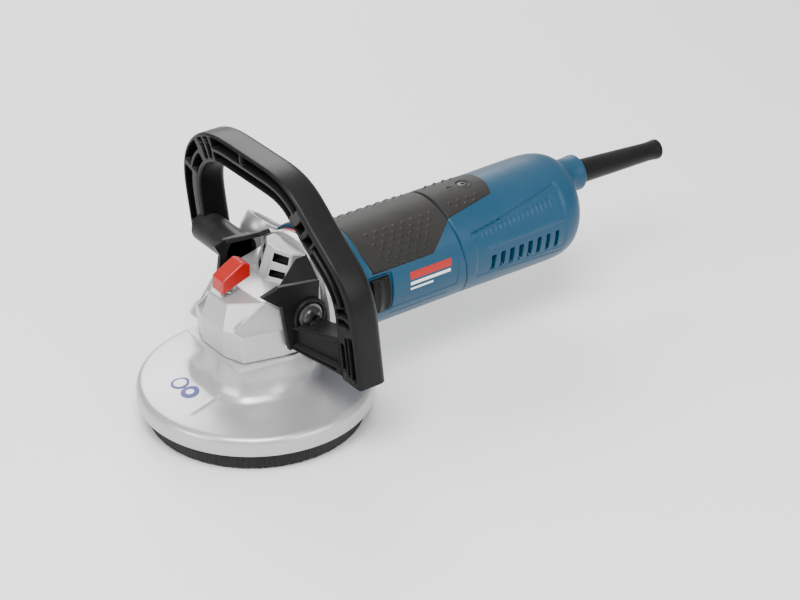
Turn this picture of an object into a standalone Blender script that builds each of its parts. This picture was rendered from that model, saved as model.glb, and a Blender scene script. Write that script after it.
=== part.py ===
"""Concrete surface grinder: an angle-grinder drive with a D-handle and a dust hood.

The frame has its origin at the centre of the spindle's lower end face.  +X runs
rearwards along the motor, +Y is the tool's right side and +Z points up.
Sizes below are in millimetres; make() turns them into metres.
"""
import math

import bmesh
import bpy
from mathutils import Vector

MM = 0.001
GAP = 0.3            # clearance between pieces that touch
RUN = 0.6            # clearance around pieces that turn or slide

# ---- wheel, brush and dust hood ---------------------------------------------
WHEEL_R = 62.5       # cup wheel, 125 mm
WHEEL_DROP = 4.5     # grinding face below the spindle's end
WHEEL_H = 17.0
WHEEL_HUB_R = 24.0
BRUSH_DROP = 6.0     # bristle tips below the spindle's end
BRUSH_GAP = 3.0      # air gap around the wheel
BRUSH_W = 5.0
HOLDER_LIP = 2.7
HOOD_WALL = 3.2
HOOD_RIM_Z = 7.5     # lower edge of the hood's rim
HOOD_RIM_H = 12.4
HOOD_CROWN = 3.4     # rise of the hood's top from its rim to its collar
COLLAR_R = 29.0
COLLAR_WALL = 3.0
BRUSH_TRAVEL = 2.5

# ---- gear head --------------------------------------------------------------
FLANGE_Z = 47.0      # underside of the bearing flange's plate
FLANGE_T = 2.5
HEAD_NOSE = 5.4      # front wall ahead of the crown gear
HOOD_CLEAR = 2.0     # air between the hood's top and the body's front neck
HEAD_TAPER = 0.8     # how far the side walls stand in from the body's radius
SEAT_CLEAR = 3.0     # front bearing's seat behind the crown gear
SEAT_LIP = 6.2       # the head's rear face behind that seat's front
SEAT_L = 11.5
SEAT_WALL = 7.4
REAR_RIM_T = 5.5
REAR_RIM_UP = 4.7    # rear rim's radius beyond the body's
SCREW_R = 2.1
SCREW_HEAD_R = 3.6
SCREW_ANGLE = 48.0
AIR_RING_W = 3.2
VENT_BEHIND = 35.7   # front of the lower air outlets behind the front wall

# ---- bevel gears ------------------------------------------------------------
MODULE = 1.6
CROWN_TEETH = 32
PINION_TEETH = 10
GEAR_FACE = 8.0
TOOTH_SHARE = 0.18   # half the tooth's thickness, as a share of its pitch
GEAR_BACK = 7.0      # crown gear's back below the pinion
PINION_BORE = 3.0

# ---- spindle and armature ---------------------------------------------------
SPINDLE_R = 7.0      # M14
SHOULDER_R = 8.5
LOW_BEARING_R = 17.5
LOW_BEARING_H = 11.0
TOP_BEARING_R = 9.5
TOP_BEARING_H = 8.0
SHAFT_R = 4.5
FRONT_BEARING_R = 14.0
REAR_BEARING_R = 11.0
CORE_R = 16.6
FAN_R = 27.0
FAN_BEHIND = 15.2    # fan's disc behind the gear head
FAN_H = 7.0
CORE_BEHIND = 20.0   # core behind the fan's disc
CORE_L = 40.0
COIL_END = 6.0       # how far the field coils stand past the core
COM_L = 12.0
COM_R = 11.0
SHAFT_TAIL = 24.5    # shaft behind the commutator's front

# ---- body -------------------------------------------------------------------
BODY_R = 36.3
BODY_WALL = 3.2
NECK_R_UP = 7.7      # front neck's radius beyond the body's
NECK_END = 66.0
SEAM_X = 141.6       # seam between the motor housing and the rear cover
SEAM_LEAN = -0.165
BODY_END = 246.0
COVER_SCREW_X = 165.6
REAR_SWELL = 0.7
PAD_DEPTH = 1.5
PAD_PROUD = 0.7
GRIP_LOW = 24.0     # lower edge of the front pad, degrees up from the side
NECK_R = 12.0        # cable neck
NECK_UP = 15.7       # cable neck's axis above the motor's axis
NECK_X = 264.0
SLEEVE_R = 8.2
SLEEVE_TIP_R = 6.0
SLEEVE_FLARE_R = 7.2
SLEEVE_END = 338.0
SLEEVE_DROOP = 0.052
CABLE_R = 4.2

# ---- controls ---------------------------------------------------------------
SWITCH_X = 66.0
SWITCH_L = 16.0
SWITCH_TRAVEL = 6.0
SWITCH_SWEEP = 20.0  # half its angle around the body
BUTTON_L = 21.0
BUTTON_W = 13.0
BUTTON_TRAVEL = 4.0
SPRING_R = 4.4
SPRING_L = 9.0
LOCK_PIN_R = 2.8

# ---- D-handle ---------------------------------------------------------------
HAND_ROOM = 31.2     # between a lug and the inside of a leg
HANDLE_UP = 102.2    # top of the bow above the motor's axis
HANDLE_DEPTH = 21.0
HANDLE_BAR = 20.0    # in-plane thickness of the bar
HANDLE_DOWN = 21.3   # left leg's lower end below the motor's axis
RIGHT_FOOT_UP = 11.7 # right leg's lower end above the motor's axis
HANDLE_REACH_X = 16.0
HANDLE_RAKE = 6.0
LUG_T = 6.0
BOLT_X = 15.5
BOLT_UP = 8.3        # bolt's axis above the motor's axis
BOLT_R = 3.7
BOLT_HEAD_R = 6.8
BOLT_HEAD_H = 4.4
BOLT_GRIP = 11.0     # thread inside the gear head
WASHER_R = 8.4
WASHER_T = 1.2
LUG_SINK = 1.5       # depth of the washer's seat in a lug
BOSS_R = 11.0        # round bridge from the right leg to its lug
BOSS_UP = 11.2       # its axis above the bolt's

# ---- dust port --------------------------------------------------------------
PORT_R = 16.0
PORT_BORE_R = 13.2
PORT_LEAN = 36.1
PORT_UP = 19.2       # rim's centre above the motor's axis
PORT_CLEAR = 4.3     # between the port and the handle's boss
PORT_SOCKET = 12.0   # length of the socket on the hood

# ---- worked out -------------------------------------------------------------
HEAD_Z = FLANGE_Z + FLANGE_T + GAP
HOOD_RIM_TOP = HOOD_RIM_Z + HOOD_RIM_H
HOOD_TOP = HOOD_RIM_TOP + HOOD_CROWN
MOTOR_Z = HOOD_TOP + HOOD_CLEAR + BODY_R + NECK_R_UP
HALF_W = BODY_R - HEAD_TAPER
RIM_R = BODY_R + REAR_RIM_UP
BORE_R = BODY_R - BODY_WALL
BRUSH_IN = WHEEL_R + BRUSH_GAP
BRUSH_OUT = BRUSH_IN + BRUSH_W
HOLDER_R = BRUSH_OUT + HOLDER_LIP
HOOD_R = HOLDER_R + GAP + HOOD_WALL
COLLAR_BORE = COLLAR_R - COLLAR_WALL
LUG_IN = HALF_W + GAP
LUG_OUT = LUG_IN + LUG_T
BOLT_Z = MOTOR_Z + BOLT_UP
PORT_Y = BODY_R + NECK_R_UP + 0.4 + PORT_R
PORT_TILT = math.radians(PORT_LEAN)
PORT_DIR = Vector((math.sin(PORT_TILT), 0, math.cos(PORT_TILT)))
PORT_TOP = MOTOR_Z + PORT_UP
BOSS_Z = BOLT_Z + BOSS_UP
PORT_RIM_X = BOLT_X + (BOSS_R + PORT_CLEAR + PORT_R) / math.cos(PORT_TILT) + (PORT_TOP - BOSS_Z) * math.tan(PORT_TILT)
PORT_FOOT = HOOD_RIM_TOP - HOOD_WALL + PORT_R * math.sin(PORT_TILT)
LUG_SEAT = LUG_OUT - LUG_SINK
HANDLE_W = LUG_OUT + HAND_ROOM + HANDLE_BAR
HANDLE_TOP = MOTOR_Z + HANDLE_UP
HANDLE_FOOT = MOTOR_Z - HANDLE_DOWN
RIGHT_FOOT = MOTOR_Z + RIGHT_FOOT_UP
CROWN_R = MODULE * CROWN_TEETH / 2
PINION_R = MODULE * PINION_TEETH / 2
CONE = math.hypot(CROWN_R, PINION_R)
SEAT_X = CROWN_R + SEAT_CLEAR
HEAD_REAR = SEAT_X + SEAT_LIP
HEAD_FRONT = CROWN_R + HEAD_NOSE
FAN_X = HEAD_REAR + FAN_BEHIND
CORE_X = FAN_X + CORE_BEHIND
COM_X = CORE_X + CORE_L + COIL_END + 1.5
MOTOR_END = COM_X + SHAFT_TAIL
NECK_Z = MOTOR_Z + NECK_UP
ROD_X = SWITCH_X + 3.0

LIGHT_METAL = (0.62, 0.63, 0.64)
BLUE = (0.012, 0.115, 0.26)
BLACK = (0.012, 0.012, 0.013)
GRIP = (0.035, 0.035, 0.034)
RED = (0.75, 0.045, 0.012)
STEEL = (0.42, 0.42, 0.43)
COPPER = (0.55, 0.2, 0.07)


# ---- building blocks --------------------------------------------------------
def material(name, colour, rough, metal):
    """A Principled material in one plain colour."""
    mat = bpy.data.materials.new(name)
    mat.use_nodes = True
    shader = mat.node_tree.nodes["Principled BSDF"]
    shader.inputs["Base Color"].default_value = (*colour, 1)
    shader.inputs["Roughness"].default_value = rough
    shader.inputs["Metallic"].default_value = metal
    mat.diffuse_color = (*colour, 1)
    return mat


def make(name, shape, look, pivot=(0, 0, 0), smooth=35):
    """An object from (points, faces) in millimetres, with its origin at the pivot."""
    points, faces = shape
    mesh = bpy.data.meshes.new(name)
    base = Vector(pivot)
    mesh.from_pydata([(Vector(p) - base) * MM for p in points], [], faces)
    bm = bmesh.new()
    bm.from_mesh(mesh)
    bmesh.ops.connect_verts_nonplanar(bm, angle_limit=math.radians(0.1), faces=bm.faces)
    bmesh.ops.recalc_face_normals(bm, faces=bm.faces)
    bm.to_mesh(mesh)
    bm.free()
    mesh.shade_smooth()
    mesh.set_sharp_from_angle(angle=math.radians(smooth))
    obj = bpy.data.objects.new(name, mesh)
    obj.location = base * MM
    bpy.context.scene.collection.objects.link(obj)
    mesh.materials.append(material(name, *look))
    return obj


def tool(name, shape):
    """A hidden guide for a Boolean modifier."""
    obj = make(name, shape, (RED, 0.5, 0))
    obj.hide_render = True
    obj.display_type = "WIRE"
    return obj


def combine(target, shape, operation):
    """Join a shape to the target, or cut it out, with a Boolean modifier."""
    guide = tool(f"{target.name}.guide{len(target.modifiers)}", shape)
    step = target.modifiers.new(operation.lower(), "BOOLEAN")
    step.operation = operation
    step.solver = "EXACT"
    step.object = guide
    return guide


def cut(target, shape):
    """Cut a shape out of the target."""
    return combine(target, shape, "DIFFERENCE")


def add(target, shape):
    """Join a shape to the target."""
    return combine(target, shape, "UNION")


def loft(rings, ring_closed=False):
    """Skin through rings of equal length, capped at both ends or closed on itself."""
    count = len(rings[0])
    points = [p for ring in rings for p in ring]
    faces = []
    spans = len(rings) if ring_closed else len(rings) - 1
    for i in range(spans):
        here = i * count
        there = ((i + 1) % len(rings)) * count
        for k in range(count):
            n = (k + 1) % count
            faces.append((here + k, here + n, there + n, there + k))
    if not ring_closed:
        faces.append(tuple(range(count)))
        last = (len(rings) - 1) * count
        faces.append(tuple(range(last + count - 1, last - 1, -1)))
    return points, faces


def merge(*shapes):
    """Several closed shapes as one list, for a cutter."""
    points, faces = [], []
    for pts, fcs in shapes:
        base = len(points)
        points.extend(pts)
        faces.extend(tuple(i + base for i in f) for f in fcs)
    return points, faces


def turned(profile, segments=32, axis="Z", centre=(0, 0, 0), closed=True, phase=0.0):
    """Turn a profile of (radius, height) around an axis; a closed profile gives a ring."""
    rings = []
    for r, h in profile:
        ring = []
        for k in range(segments):
            a = 2 * math.pi * (k + phase) / segments
            u, v = r * math.cos(a), r * math.sin(a)
            p = (u, v, h) if axis == "Z" else (h, u, v) if axis == "X" else (u, h, v)
            ring.append(tuple(c + q for c, q in zip(centre, p)))
        rings.append(ring)
    return loft(rings, closed)


def tilted(shape, base, direction):
    """Stand a shape built along +Z onto a point, along a direction."""
    turn = Vector((0, 0, 1)).rotation_difference(Vector(direction))
    return [tuple(Vector(base) + turn @ Vector(p)) for p in shape[0]], shape[1]


def box(lo, hi):
    """A box between two corners."""
    x0, y0, z0 = lo
    x1, y1, z1 = hi
    floor = [(x0, y0), (x1, y0), (x1, y1), (x0, y1)]
    return loft([[(x, y, z) for x, y in floor] for z in (z0, z1)])


def prism(outline, lo, hi, axis="Y"):
    """Extrude an outline of (x, z) along Y, or of (x, y) along Z."""
    if axis == "Y":
        return loft([[(a, lo, b) for a, b in outline], [(a, hi, b) for a, b in outline]])
    return loft([[(a, b, lo) for a, b in outline], [(a, b, hi) for a, b in outline]])


def ring_x(x, radius, count, lean=0.0, shape=None):
    """A ring around the motor's axis at x; lean tips it and shape scales its radius."""
    out = []
    for k in range(count):
        a = 2 * math.pi * k / count
        r = radius if shape is None else radius * shape(a)
        y, z = r * math.cos(a), r * math.sin(a)
        out.append((x + lean * z, y, MOTOR_Z + z))
    return out


def on_body(x, degrees, radius):
    """A point on a cylinder around the motor's axis; 0 degrees is the left side, 90 the top."""
    a = math.radians(degrees)
    return (x, -radius * math.cos(a), MOTOR_Z + radius * math.sin(a))


def patch(place, columns, rows, inner, outer):
    """A curved plate: place(u, v) gives (x, degrees) and the radii give its two skins."""
    grids = []
    for radius in (inner, outer):
        for j in range(rows + 1):
            for i in range(columns + 1):
                grids.append(on_body(*place(i / columns, j / rows), radius))
    wide = columns + 1
    size = wide * (rows + 1)
    faces = []
    for j in range(rows):
        for i in range(columns):
            a = j * wide + i
            faces.append((a, a + 1, a + 1 + wide, a + wide))
            faces.append((size + a + wide, size + a + 1 + wide, size + a + 1, size + a))
    edge = [i for i in range(wide)]
    edge += [j * wide + columns for j in range(1, rows + 1)]
    edge += [rows * wide + i for i in range(columns - 1, -1, -1)]
    edge += [j * wide for j in range(rows - 1, 0, -1)]
    for here, there in zip(edge, edge[1:] + edge[:1]):
        faces.append((there, here, here + size, there + size))
    return grids, faces


def span(x0, x1, a0, a1):
    """A plain rectangular place() for patch()."""
    return lambda u, v: (x0 + u * (x1 - x0), a0 + v * (a1 - a0))


def blend(value, stops):
    """Straight-line value between (position, value) stops."""
    for (p0, v0), (p1, v1) in zip(stops, stops[1:]):
        if value <= p1:
            return v0 + (v1 - v0) * max(0.0, value - p0) / (p1 - p0)
    return stops[-1][1]


# ---- gear head --------------------------------------------------------------
def head_section(x, wall, half, shoulder, shoulder_z, ridge, top):
    """One cross-section of the gear housing, as eight corners."""
    right = [(half, HEAD_Z), (half, wall), (shoulder, shoulder_z), (ridge, top)]
    left = [(-y, z) for y, z in reversed(right)]
    return [(x, y, z) for y, z in right + left]


def gear_housing():
    """Faceted light-metal casting, hollow for the gears, open below and behind."""
    axis = MOTOR_Z
    half = HALF_W
    top = MOTOR_Z + RIM_R
    rows = [
        (-HEAD_FRONT, axis - 0.3, half - 11, half - 13, axis + 0.3, half - 20, axis + 1.2),
        (-HEAD_FRONT + 1.2, axis, half - 6.1, half - 9, axis + 5, half - 20, axis + 8),
        (-HEAD_FRONT + 6, axis + 0.5, half - 5.3, half - 11, axis + 13, half - 22, axis + 18),
        (-HEAD_FRONT + 16, axis + 1.5, half - 3.7, half - 10, axis + 17, half - 23, axis + 23),
        (-HEAD_FRONT + 27, axis + 2.5, half - 1.8, half - 8, axis + 20, half - 24, axis + 27.5),
        (-HEAD_FRONT + 35, axis + 3, half - 0.6, half - 6, axis + 23, half - 25, top - 7),
        (-HEAD_FRONT + 43, axis + 3.5, half, half - 4, axis + 25, half - 24, top - 1.6),
        (HEAD_REAR - 8, axis + 3.5, half, half - 3, axis + 24, half - 22, top - 0.6),
        (HEAD_REAR, axis + 3.5, half, half - 3, axis + 24, half - 22, top - 0.6),
    ]
    body = make("gear_housing", loft([head_section(*r) for r in rows]), (LIGHT_METAL, 0.4, 0.6))
    rim = [(RIM_R, HEAD_REAR - REAR_RIM_T), (RIM_R, HEAD_REAR)]
    add(body, turned(rim, 40, "X", (0, 0, MOTOR_Z), False))
    gear_r = CROWN_R + 1.6
    well = [(gear_r, HEAD_Z - 1), (gear_r, MOTOR_Z - 1.5), (TOP_BEARING_R + GAP, MOTOR_Z + 11)]
    well.append((TOP_BEARING_R + GAP, MOTOR_Z + 11 + TOP_BEARING_H + GAP))
    cut(body, turned(well, 32, "Z", closed=False))
    seat = FRONT_BEARING_R + 7.7
    tunnel = [(PINION_R + 4, 4.0), (PINION_R + 4, HEAD_REAR - 6.5), (seat, HEAD_REAR - 6.5)]
    tunnel.append((seat, HEAD_REAR + 1))
    cut(body, turned(tunnel, 32, "X", (0, 0, MOTOR_Z), False, 0.2))
    holes = []
    for x, y, z in head_screw_places():
        wide, slim = SCREW_HEAD_R + 0.9, SCREW_R + GAP
        step = [(wide, x - 14), (wide, x), (slim, x), (slim, x + 12)]
        holes.append(turned(step, 12, "X", (0, y, z), False, 0.3))
    for side in (-1, 1):
        reach = (side * (LUG_IN - BOLT_GRIP - 1), side * (LUG_IN + 1))
        ends = sorted(reach)
        holes.append(turned([(BOLT_R + GAP, e) for e in ends], 12, "Y", (BOLT_X, 0, BOLT_Z), False))
    cut(body, merge(*holes))
    cut(body, merge(*head_vents()))
    cut(body, button_slot())
    x, low, high = lock_pin_place()
    reach = low - BUTTON_TRAVEL - RUN
    bore = [(LOCK_PIN_R + GAP, reach), (LOCK_PIN_R + GAP, high - SPRING_L), (SPRING_R + 2 * GAP, high - SPRING_L)]
    bore.append((SPRING_R + 2 * GAP, high + 2))
    cut(body, turned(bore, 16, centre=(x, 0, 0), closed=False, phase=0.3))
    return body


def head_screw_places():
    """Seats of the four screws that hold the gear head to the motor housing."""
    reach = RIM_R - AIR_RING_W - 2 * GAP - SCREW_R - 1.0
    out = []
    for a in (SCREW_ANGLE, 180 - SCREW_ANGLE, 180 + SCREW_ANGLE, -SCREW_ANGLE):
        r = math.radians(a)
        out.append((HEAD_REAR - REAR_RIM_T + 1.5, reach * math.cos(r), MOTOR_Z + reach * math.sin(r)))
    return out


def head_vents():
    """Two air outlets on each side of the head's ridge."""
    out = []
    for side in (-1, 1):
        for low, back in ((MOTOR_Z + 24.5, 0.0), (MOTOR_Z + 32.5, 5.0)):
            y = sorted((side * 13.0, side * 26.2))
            x = VENT_BEHIND - HEAD_FRONT + back
            out.append(box((x, y[0], low), (x + 12.5, y[1], low + 5.0)))
    return out


def bearing_flange():
    """Plate under the gear head, with a neck that the dust hood clamps onto."""
    front = HEAD_FRONT + 0.6
    half = HALF_W
    outline = [(-front, half - 11), (-front + 1.3, half - 5.6), (6.0, half + 0.4), (26.0, half - 3)]
    outline += [(x, -y) for x, y in reversed(outline)]
    plate = make("bearing_flange", prism(outline, FLANGE_Z, FLANGE_Z + FLANGE_T, "Z"), (LIGHT_METAL, 0.35, 0.8))
    neck_r = COLLAR_BORE - GAP
    add(plate, turned([(neck_r, HOOD_TOP + 4), (neck_r, FLANGE_Z + 1)], 32, closed=False))
    bearing = LOW_BEARING_R + GAP
    base = FLANGE_Z - LOW_BEARING_H - 4
    bore = [(SHOULDER_R + RUN + 2, HOOD_TOP), (SHOULDER_R + RUN + 2, base), (bearing, base)]
    bore.append((bearing, FLANGE_Z + FLANGE_T + 1))
    cut(plate, turned(bore, 32, closed=False))
    return plate


def spindle_lock():
    """Red press button with the pin that holds the gear still, and its spring."""
    x0, y0, z0 = button_place()
    rise = 7.0
    side = [(0, -6.5), (BUTTON_L, 0.5), (BUTTON_L, rise + 2), (BUTTON_L - 5, rise + 4.2), (0.8, rise - 4)]
    shape = prism([(x0 + x, z0 + z) for x, z in side], -BUTTON_W / 2, BUTTON_W / 2)
    make("spindle_lock_button", shape, (RED, 0.35, 0), (x0 + BUTTON_L / 2, 0, z0))
    x, low, high = lock_pin_place()
    pin = [(LOCK_PIN_R, low), (LOCK_PIN_R, high - GAP)]
    make("lock_pin", turned(pin, 12, centre=(x, 0, 0), closed=False), (STEEL, 0.3, 1), (x, 0, low))
    wire = 0.45
    turns, steps = 4, 12
    rings = []
    for k in range(turns * steps + 1):
        a = 2 * math.pi * k / steps
        z = high - SPRING_L + GAP + wire + (SPRING_L - 2 * GAP - 2 * wire) * k / (turns * steps)
        ring = []
        for du, dz in ((wire, 0), (0, wire), (-wire, 0), (0, -wire)):
            r = SPRING_R - wire + du
            ring.append((x + r * math.cos(a), r * math.sin(a), z + dz))
        rings.append(ring)
    make("lock_spring", loft(rings), (STEEL, 0.3, 1), (x, 0, high - SPRING_L))


def lock_pin_place():
    """The lock pin's x, its lower end above the crown gear, and the button's underside."""
    x0, _, z0 = button_place()
    x = -CROWN_R + 7.0
    under = z0 + blend(x, [(x0, -6.5), (x0 + BUTTON_L, 0.5)]) - 0.9
    return x, MOTOR_Z + 5.0, under


def button_place():
    """Lower front corner of the button at y = 0."""
    return (-HEAD_FRONT + 5.0, 0, MOTOR_Z + 27.0)


def button_slot():
    """Pocket under the button, as wide as the button and its clearance."""
    x0, _, z0 = button_place()
    wide = BUTTON_W / 2 + RUN
    deep = BUTTON_TRAVEL + RUN
    front, back = -RUN - 3, BUTTON_L + RUN
    slope = 7.0 / BUTTON_L
    side = [(front, slope * front - 6.5 - deep), (back, slope * back - 6.5 - deep), (back, 20), (front, 20)]
    return prism([(x0 + x, z0 + z) for x, z in side], -wide, wide)


# ---- gears, spindle, wheel --------------------------------------------------
def tooth_angles(teeth, spread, offset):
    """Four angles per tooth: root, tip, tip, root."""
    pitch = 2 * math.pi / teeth
    half = TOOTH_SHARE * pitch
    out = []
    for k in range(teeth):
        mid = (k + offset) * pitch
        out += [(mid - half * (1 + spread), 0), (mid - half * (1 - spread), 1)]
        out += [(mid + half * (1 - spread), 1), (mid + half * (1 + spread), 0)]
    return out


def crown_gear():
    """Bevel ring gear that faces up, on the spindle."""
    cone = math.atan2(CROWN_R, PINION_R)
    tip = cone + math.atan2(0.8 * MODULE, CONE)
    root = cone - math.atan2(1.1 * MODULE, CONE)
    marks = tooth_angles(CROWN_TEETH, 0.4, 0.5)
    back = MOTOR_Z - PINION_R - GEAR_BACK
    hub = SPINDLE_R + GAP

    def flat(radius, z):
        return [(radius * math.cos(a), radius * math.sin(a), z) for a, _ in marks]

    def toothed(reach):
        out = []
        for a, high in marks:
            lean = tip if high else root
            flat_r = reach * math.sin(lean)
            out.append((flat_r * math.cos(a), flat_r * math.sin(a), MOTOR_Z - reach * math.cos(lean)))
        return out

    inner = CONE - GEAR_FACE
    rings = [flat(hub, back), flat(CROWN_R - 1.0, back), toothed(CONE), toothed(inner)]
    rings.append(flat(hub, MOTOR_Z - inner * math.cos(root)))
    make("crown_gear", loft(rings, True), (STEEL, 0.35, 1))


def drive_pinion():
    """Bevel pinion on the armature's shaft, in mesh at the front."""
    marks = tooth_angles(PINION_TEETH, 0.4, 0.0)
    cone = math.atan2(PINION_R, CROWN_R)
    tip = cone + math.atan2(0.8 * MODULE, CONE)
    root = cone - math.atan2(1.1 * MODULE, CONE)

    def toothed(reach):
        out = []
        for a, high in marks:
            lean = tip if high else root
            r = reach * math.sin(lean)
            turn = a - math.pi / 2
            out.append((reach * math.cos(lean), r * math.cos(turn), MOTOR_Z + r * math.sin(turn)))
        return out

    shape = loft([toothed(CONE - GEAR_FACE), toothed(CONE)])
    body = make("drive_pinion", shape, (STEEL, 0.3, 1), (0, 0, MOTOR_Z))
    bore = [(PINION_BORE, CONE - GEAR_FACE - 3), (PINION_BORE, CONE + 3)]
    cut(body, turned(bore, 16, "X", (0, 0, MOTOR_Z), False))


def spindle_group():
    """Spindle, flange, cup wheel, nut and the two spindle bearings."""
    top = MOTOR_Z + 11 + TOP_BEARING_H - 1
    shoulder = 20.6
    profile = [(SPINDLE_R, 0), (SPINDLE_R, shoulder), (SHOULDER_R, shoulder)]
    gear_back = MOTOR_Z - PINION_R - GEAR_BACK
    profile += [(SHOULDER_R, gear_back - GAP), (SPINDLE_R, gear_back - GAP)]
    profile += [(SPINDLE_R, MOTOR_Z + 3), (SPINDLE_R - 1.5, MOTOR_Z + 4), (SPINDLE_R - 1.5, top)]
    make("spindle", turned(profile, 24, closed=False), (STEEL, 0.3, 1))
    seat = 12.8
    flange = [(SPINDLE_R + GAP, seat), (21.0, seat), (21.0, seat + 3), (13.0, seat + 5), (13.0, shoulder - GAP)]
    flange.append((SPINDLE_R + GAP, shoulder - GAP))
    make("inner_flange", turned(flange, 32), (STEEL, 0.4, 1))
    make("cup_wheel", turned(wheel_profile(seat - GAP), 48), ((0.25, 0.26, 0.27), 0.5, 0.7))
    nut = [(SPINDLE_R + GAP, 1.4), (17.0, 1.4), (19.0, 2.4), (19.0, 7.2), (SPINDLE_R + GAP, 7.2)]
    make("lock_nut", turned(nut, 24), (STEEL, 0.35, 1))
    low = FLANGE_Z - LOW_BEARING_H - 4 + GAP
    bearing("spindle_bearing_low", SHOULDER_R + GAP, LOW_BEARING_R, low, LOW_BEARING_H, "Z")
    bearing("spindle_bearing_top", SPINDLE_R - 1.5 + GAP, TOP_BEARING_R, MOTOR_Z + 11, TOP_BEARING_H, "Z")


def wheel_profile(top):
    """Cup wheel: hub plate, sloping dish and the ring that grinds."""
    plate = 5.0
    ring_w = 12.0
    hub = WHEEL_HUB_R
    face = -WHEEL_DROP
    return [
        (SPINDLE_R + GAP, top - plate), (hub, top - plate), (WHEEL_R - ring_w, face + 5.0),
        (WHEEL_R - ring_w, face), (WHEEL_R, face), (WHEEL_R, face + 7.5),
        (WHEEL_R - 3, face + 9.5), (hub + 4, top), (SPINDLE_R + GAP, top),
    ]


def bearing(name, inner, outer, start, width, axis):
    """Ball bearing as one ring with stepped faces."""
    groove = (outer - inner) * 0.28
    profile = [
        (inner, start), (inner + groove, start), (inner + groove, start + 0.6), (outer - groove, start + 0.6),
        (outer - groove, start), (outer, start), (outer, start + width), (inner, start + width),
    ]
    centre = (0, 0, 0) if axis == "Z" else (0, 0, MOTOR_Z)
    make(name, turned(profile, 24, axis, centre), (STEEL, 0.25, 1))


# ---- dust hood --------------------------------------------------------------
def dust_hood():
    """Cast bell around the wheel, with a collar above and a socket for the port."""
    wall = HOOD_WALL
    inner_r = HOOD_R - wall
    outer = [
        (HOOD_R, HOOD_RIM_Z), (HOOD_R, HOOD_RIM_TOP - 3.2), (HOOD_R - 1.0, HOOD_RIM_TOP - 1.2),
        (HOOD_R - 3.2, HOOD_RIM_TOP), (COLLAR_R + 4, HOOD_TOP), (COLLAR_R, HOOD_TOP + 3),
        (COLLAR_R, FLANGE_Z - GAP),
    ]
    inner = [
        (COLLAR_BORE, FLANGE_Z - GAP), (COLLAR_BORE, HOOD_TOP - wall),
        (inner_r - 3, HOOD_RIM_TOP - wall), (inner_r, HOOD_RIM_TOP - wall - 1.5), (inner_r, HOOD_RIM_Z),
    ]
    body = make("dust_hood", turned(outer + inner, 40), (LIGHT_METAL, 0.42, 0.6))
    foot = port_point(PORT_FOOT)
    socket = [(PORT_R + 1.8, -PORT_SOCKET), (PORT_R + 1.8, PORT_SOCKET / 2)]
    add(body, tilted(turned(socket, 24, closed=False), foot, PORT_DIR))
    under = [(inner_r - 0.2, HOOD_RIM_Z - 20), (inner_r - 0.2, HOOD_RIM_TOP - wall - 1.6)]
    cut(body, turned(under, 40, closed=False))
    cut(body, tilted(turned([(PORT_R + GAP, 0), (PORT_R + GAP, 30)], 24, closed=False), foot, PORT_DIR))
    cut(body, tilted(turned([(PORT_BORE_R, -PORT_SOCKET - 6), (PORT_BORE_R, 1)], 24, closed=False), foot, PORT_DIR))
    return body


def port_point(z):
    """A point on the dust port's axis at a height."""
    return (PORT_RIM_X - (PORT_TOP - z) * math.tan(math.radians(PORT_LEAN)), PORT_Y, z)


def dust_port():
    """Straight tube for the hose, leaning rearwards beside the gear head."""
    foot = Vector(port_point(PORT_FOOT)) + PORT_DIR * GAP
    length = (Vector(port_point(PORT_TOP)) - foot).length
    wall = [
        (PORT_BORE_R, 0), (PORT_R, 0), (PORT_R, length - 12), (PORT_R + 0.6, length - 10),
        (PORT_R + 0.6, length - 1), (PORT_R - 0.2, length), (PORT_BORE_R + 0.4, length), (PORT_BORE_R, length - 1),
    ]
    make("dust_port", tilted(turned(wall, 32), foot, PORT_DIR), (LIGHT_METAL, 0.38, 0.7))


def brush_group():
    """Bristle ring, the holder that floats with it, and the wave spring above."""
    low = -BRUSH_DROP
    seat = HOOD_RIM_Z + 0.6
    outer = HOOD_R - HOOD_WALL - RUN
    holder = [
        (BRUSH_IN - 0.5, seat), (outer, seat), (outer, seat + 1.8),
        (outer - 1.6, seat + 3.4), (BRUSH_IN - 0.5, seat + 3.4),
    ]
    make("brush_holder", turned(holder, 48), (BLACK, 0.5, 0))
    bristles = [(BRUSH_IN, low), (BRUSH_OUT, low), (BRUSH_OUT, seat - GAP), (BRUSH_IN, seat - GAP)]
    make("brush_ring", turned(bristles, 48), (BLACK, 0.8, 0))
    low = seat + 3.4 + GAP
    high = HOOD_RIM_TOP - HOOD_WALL - GAP
    count = 36
    rings = []
    for radius, lift in ((BRUSH_IN + 1, 0), (BRUSH_OUT - 1, 0), (BRUSH_OUT - 1, 0.8), (BRUSH_IN + 1, 0.8)):
        ring = []
        for k in range(count):
            a = 2 * math.pi * k / count
            z = low + (high - 0.8 - low) * (0.5 + 0.5 * math.cos(3 * a)) + lift
            ring.append((radius * math.cos(a), radius * math.sin(a), z))
        rings.append(ring)
    make("wave_spring", loft(rings, True), (STEEL, 0.3, 1), (0, 0, low))


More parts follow.
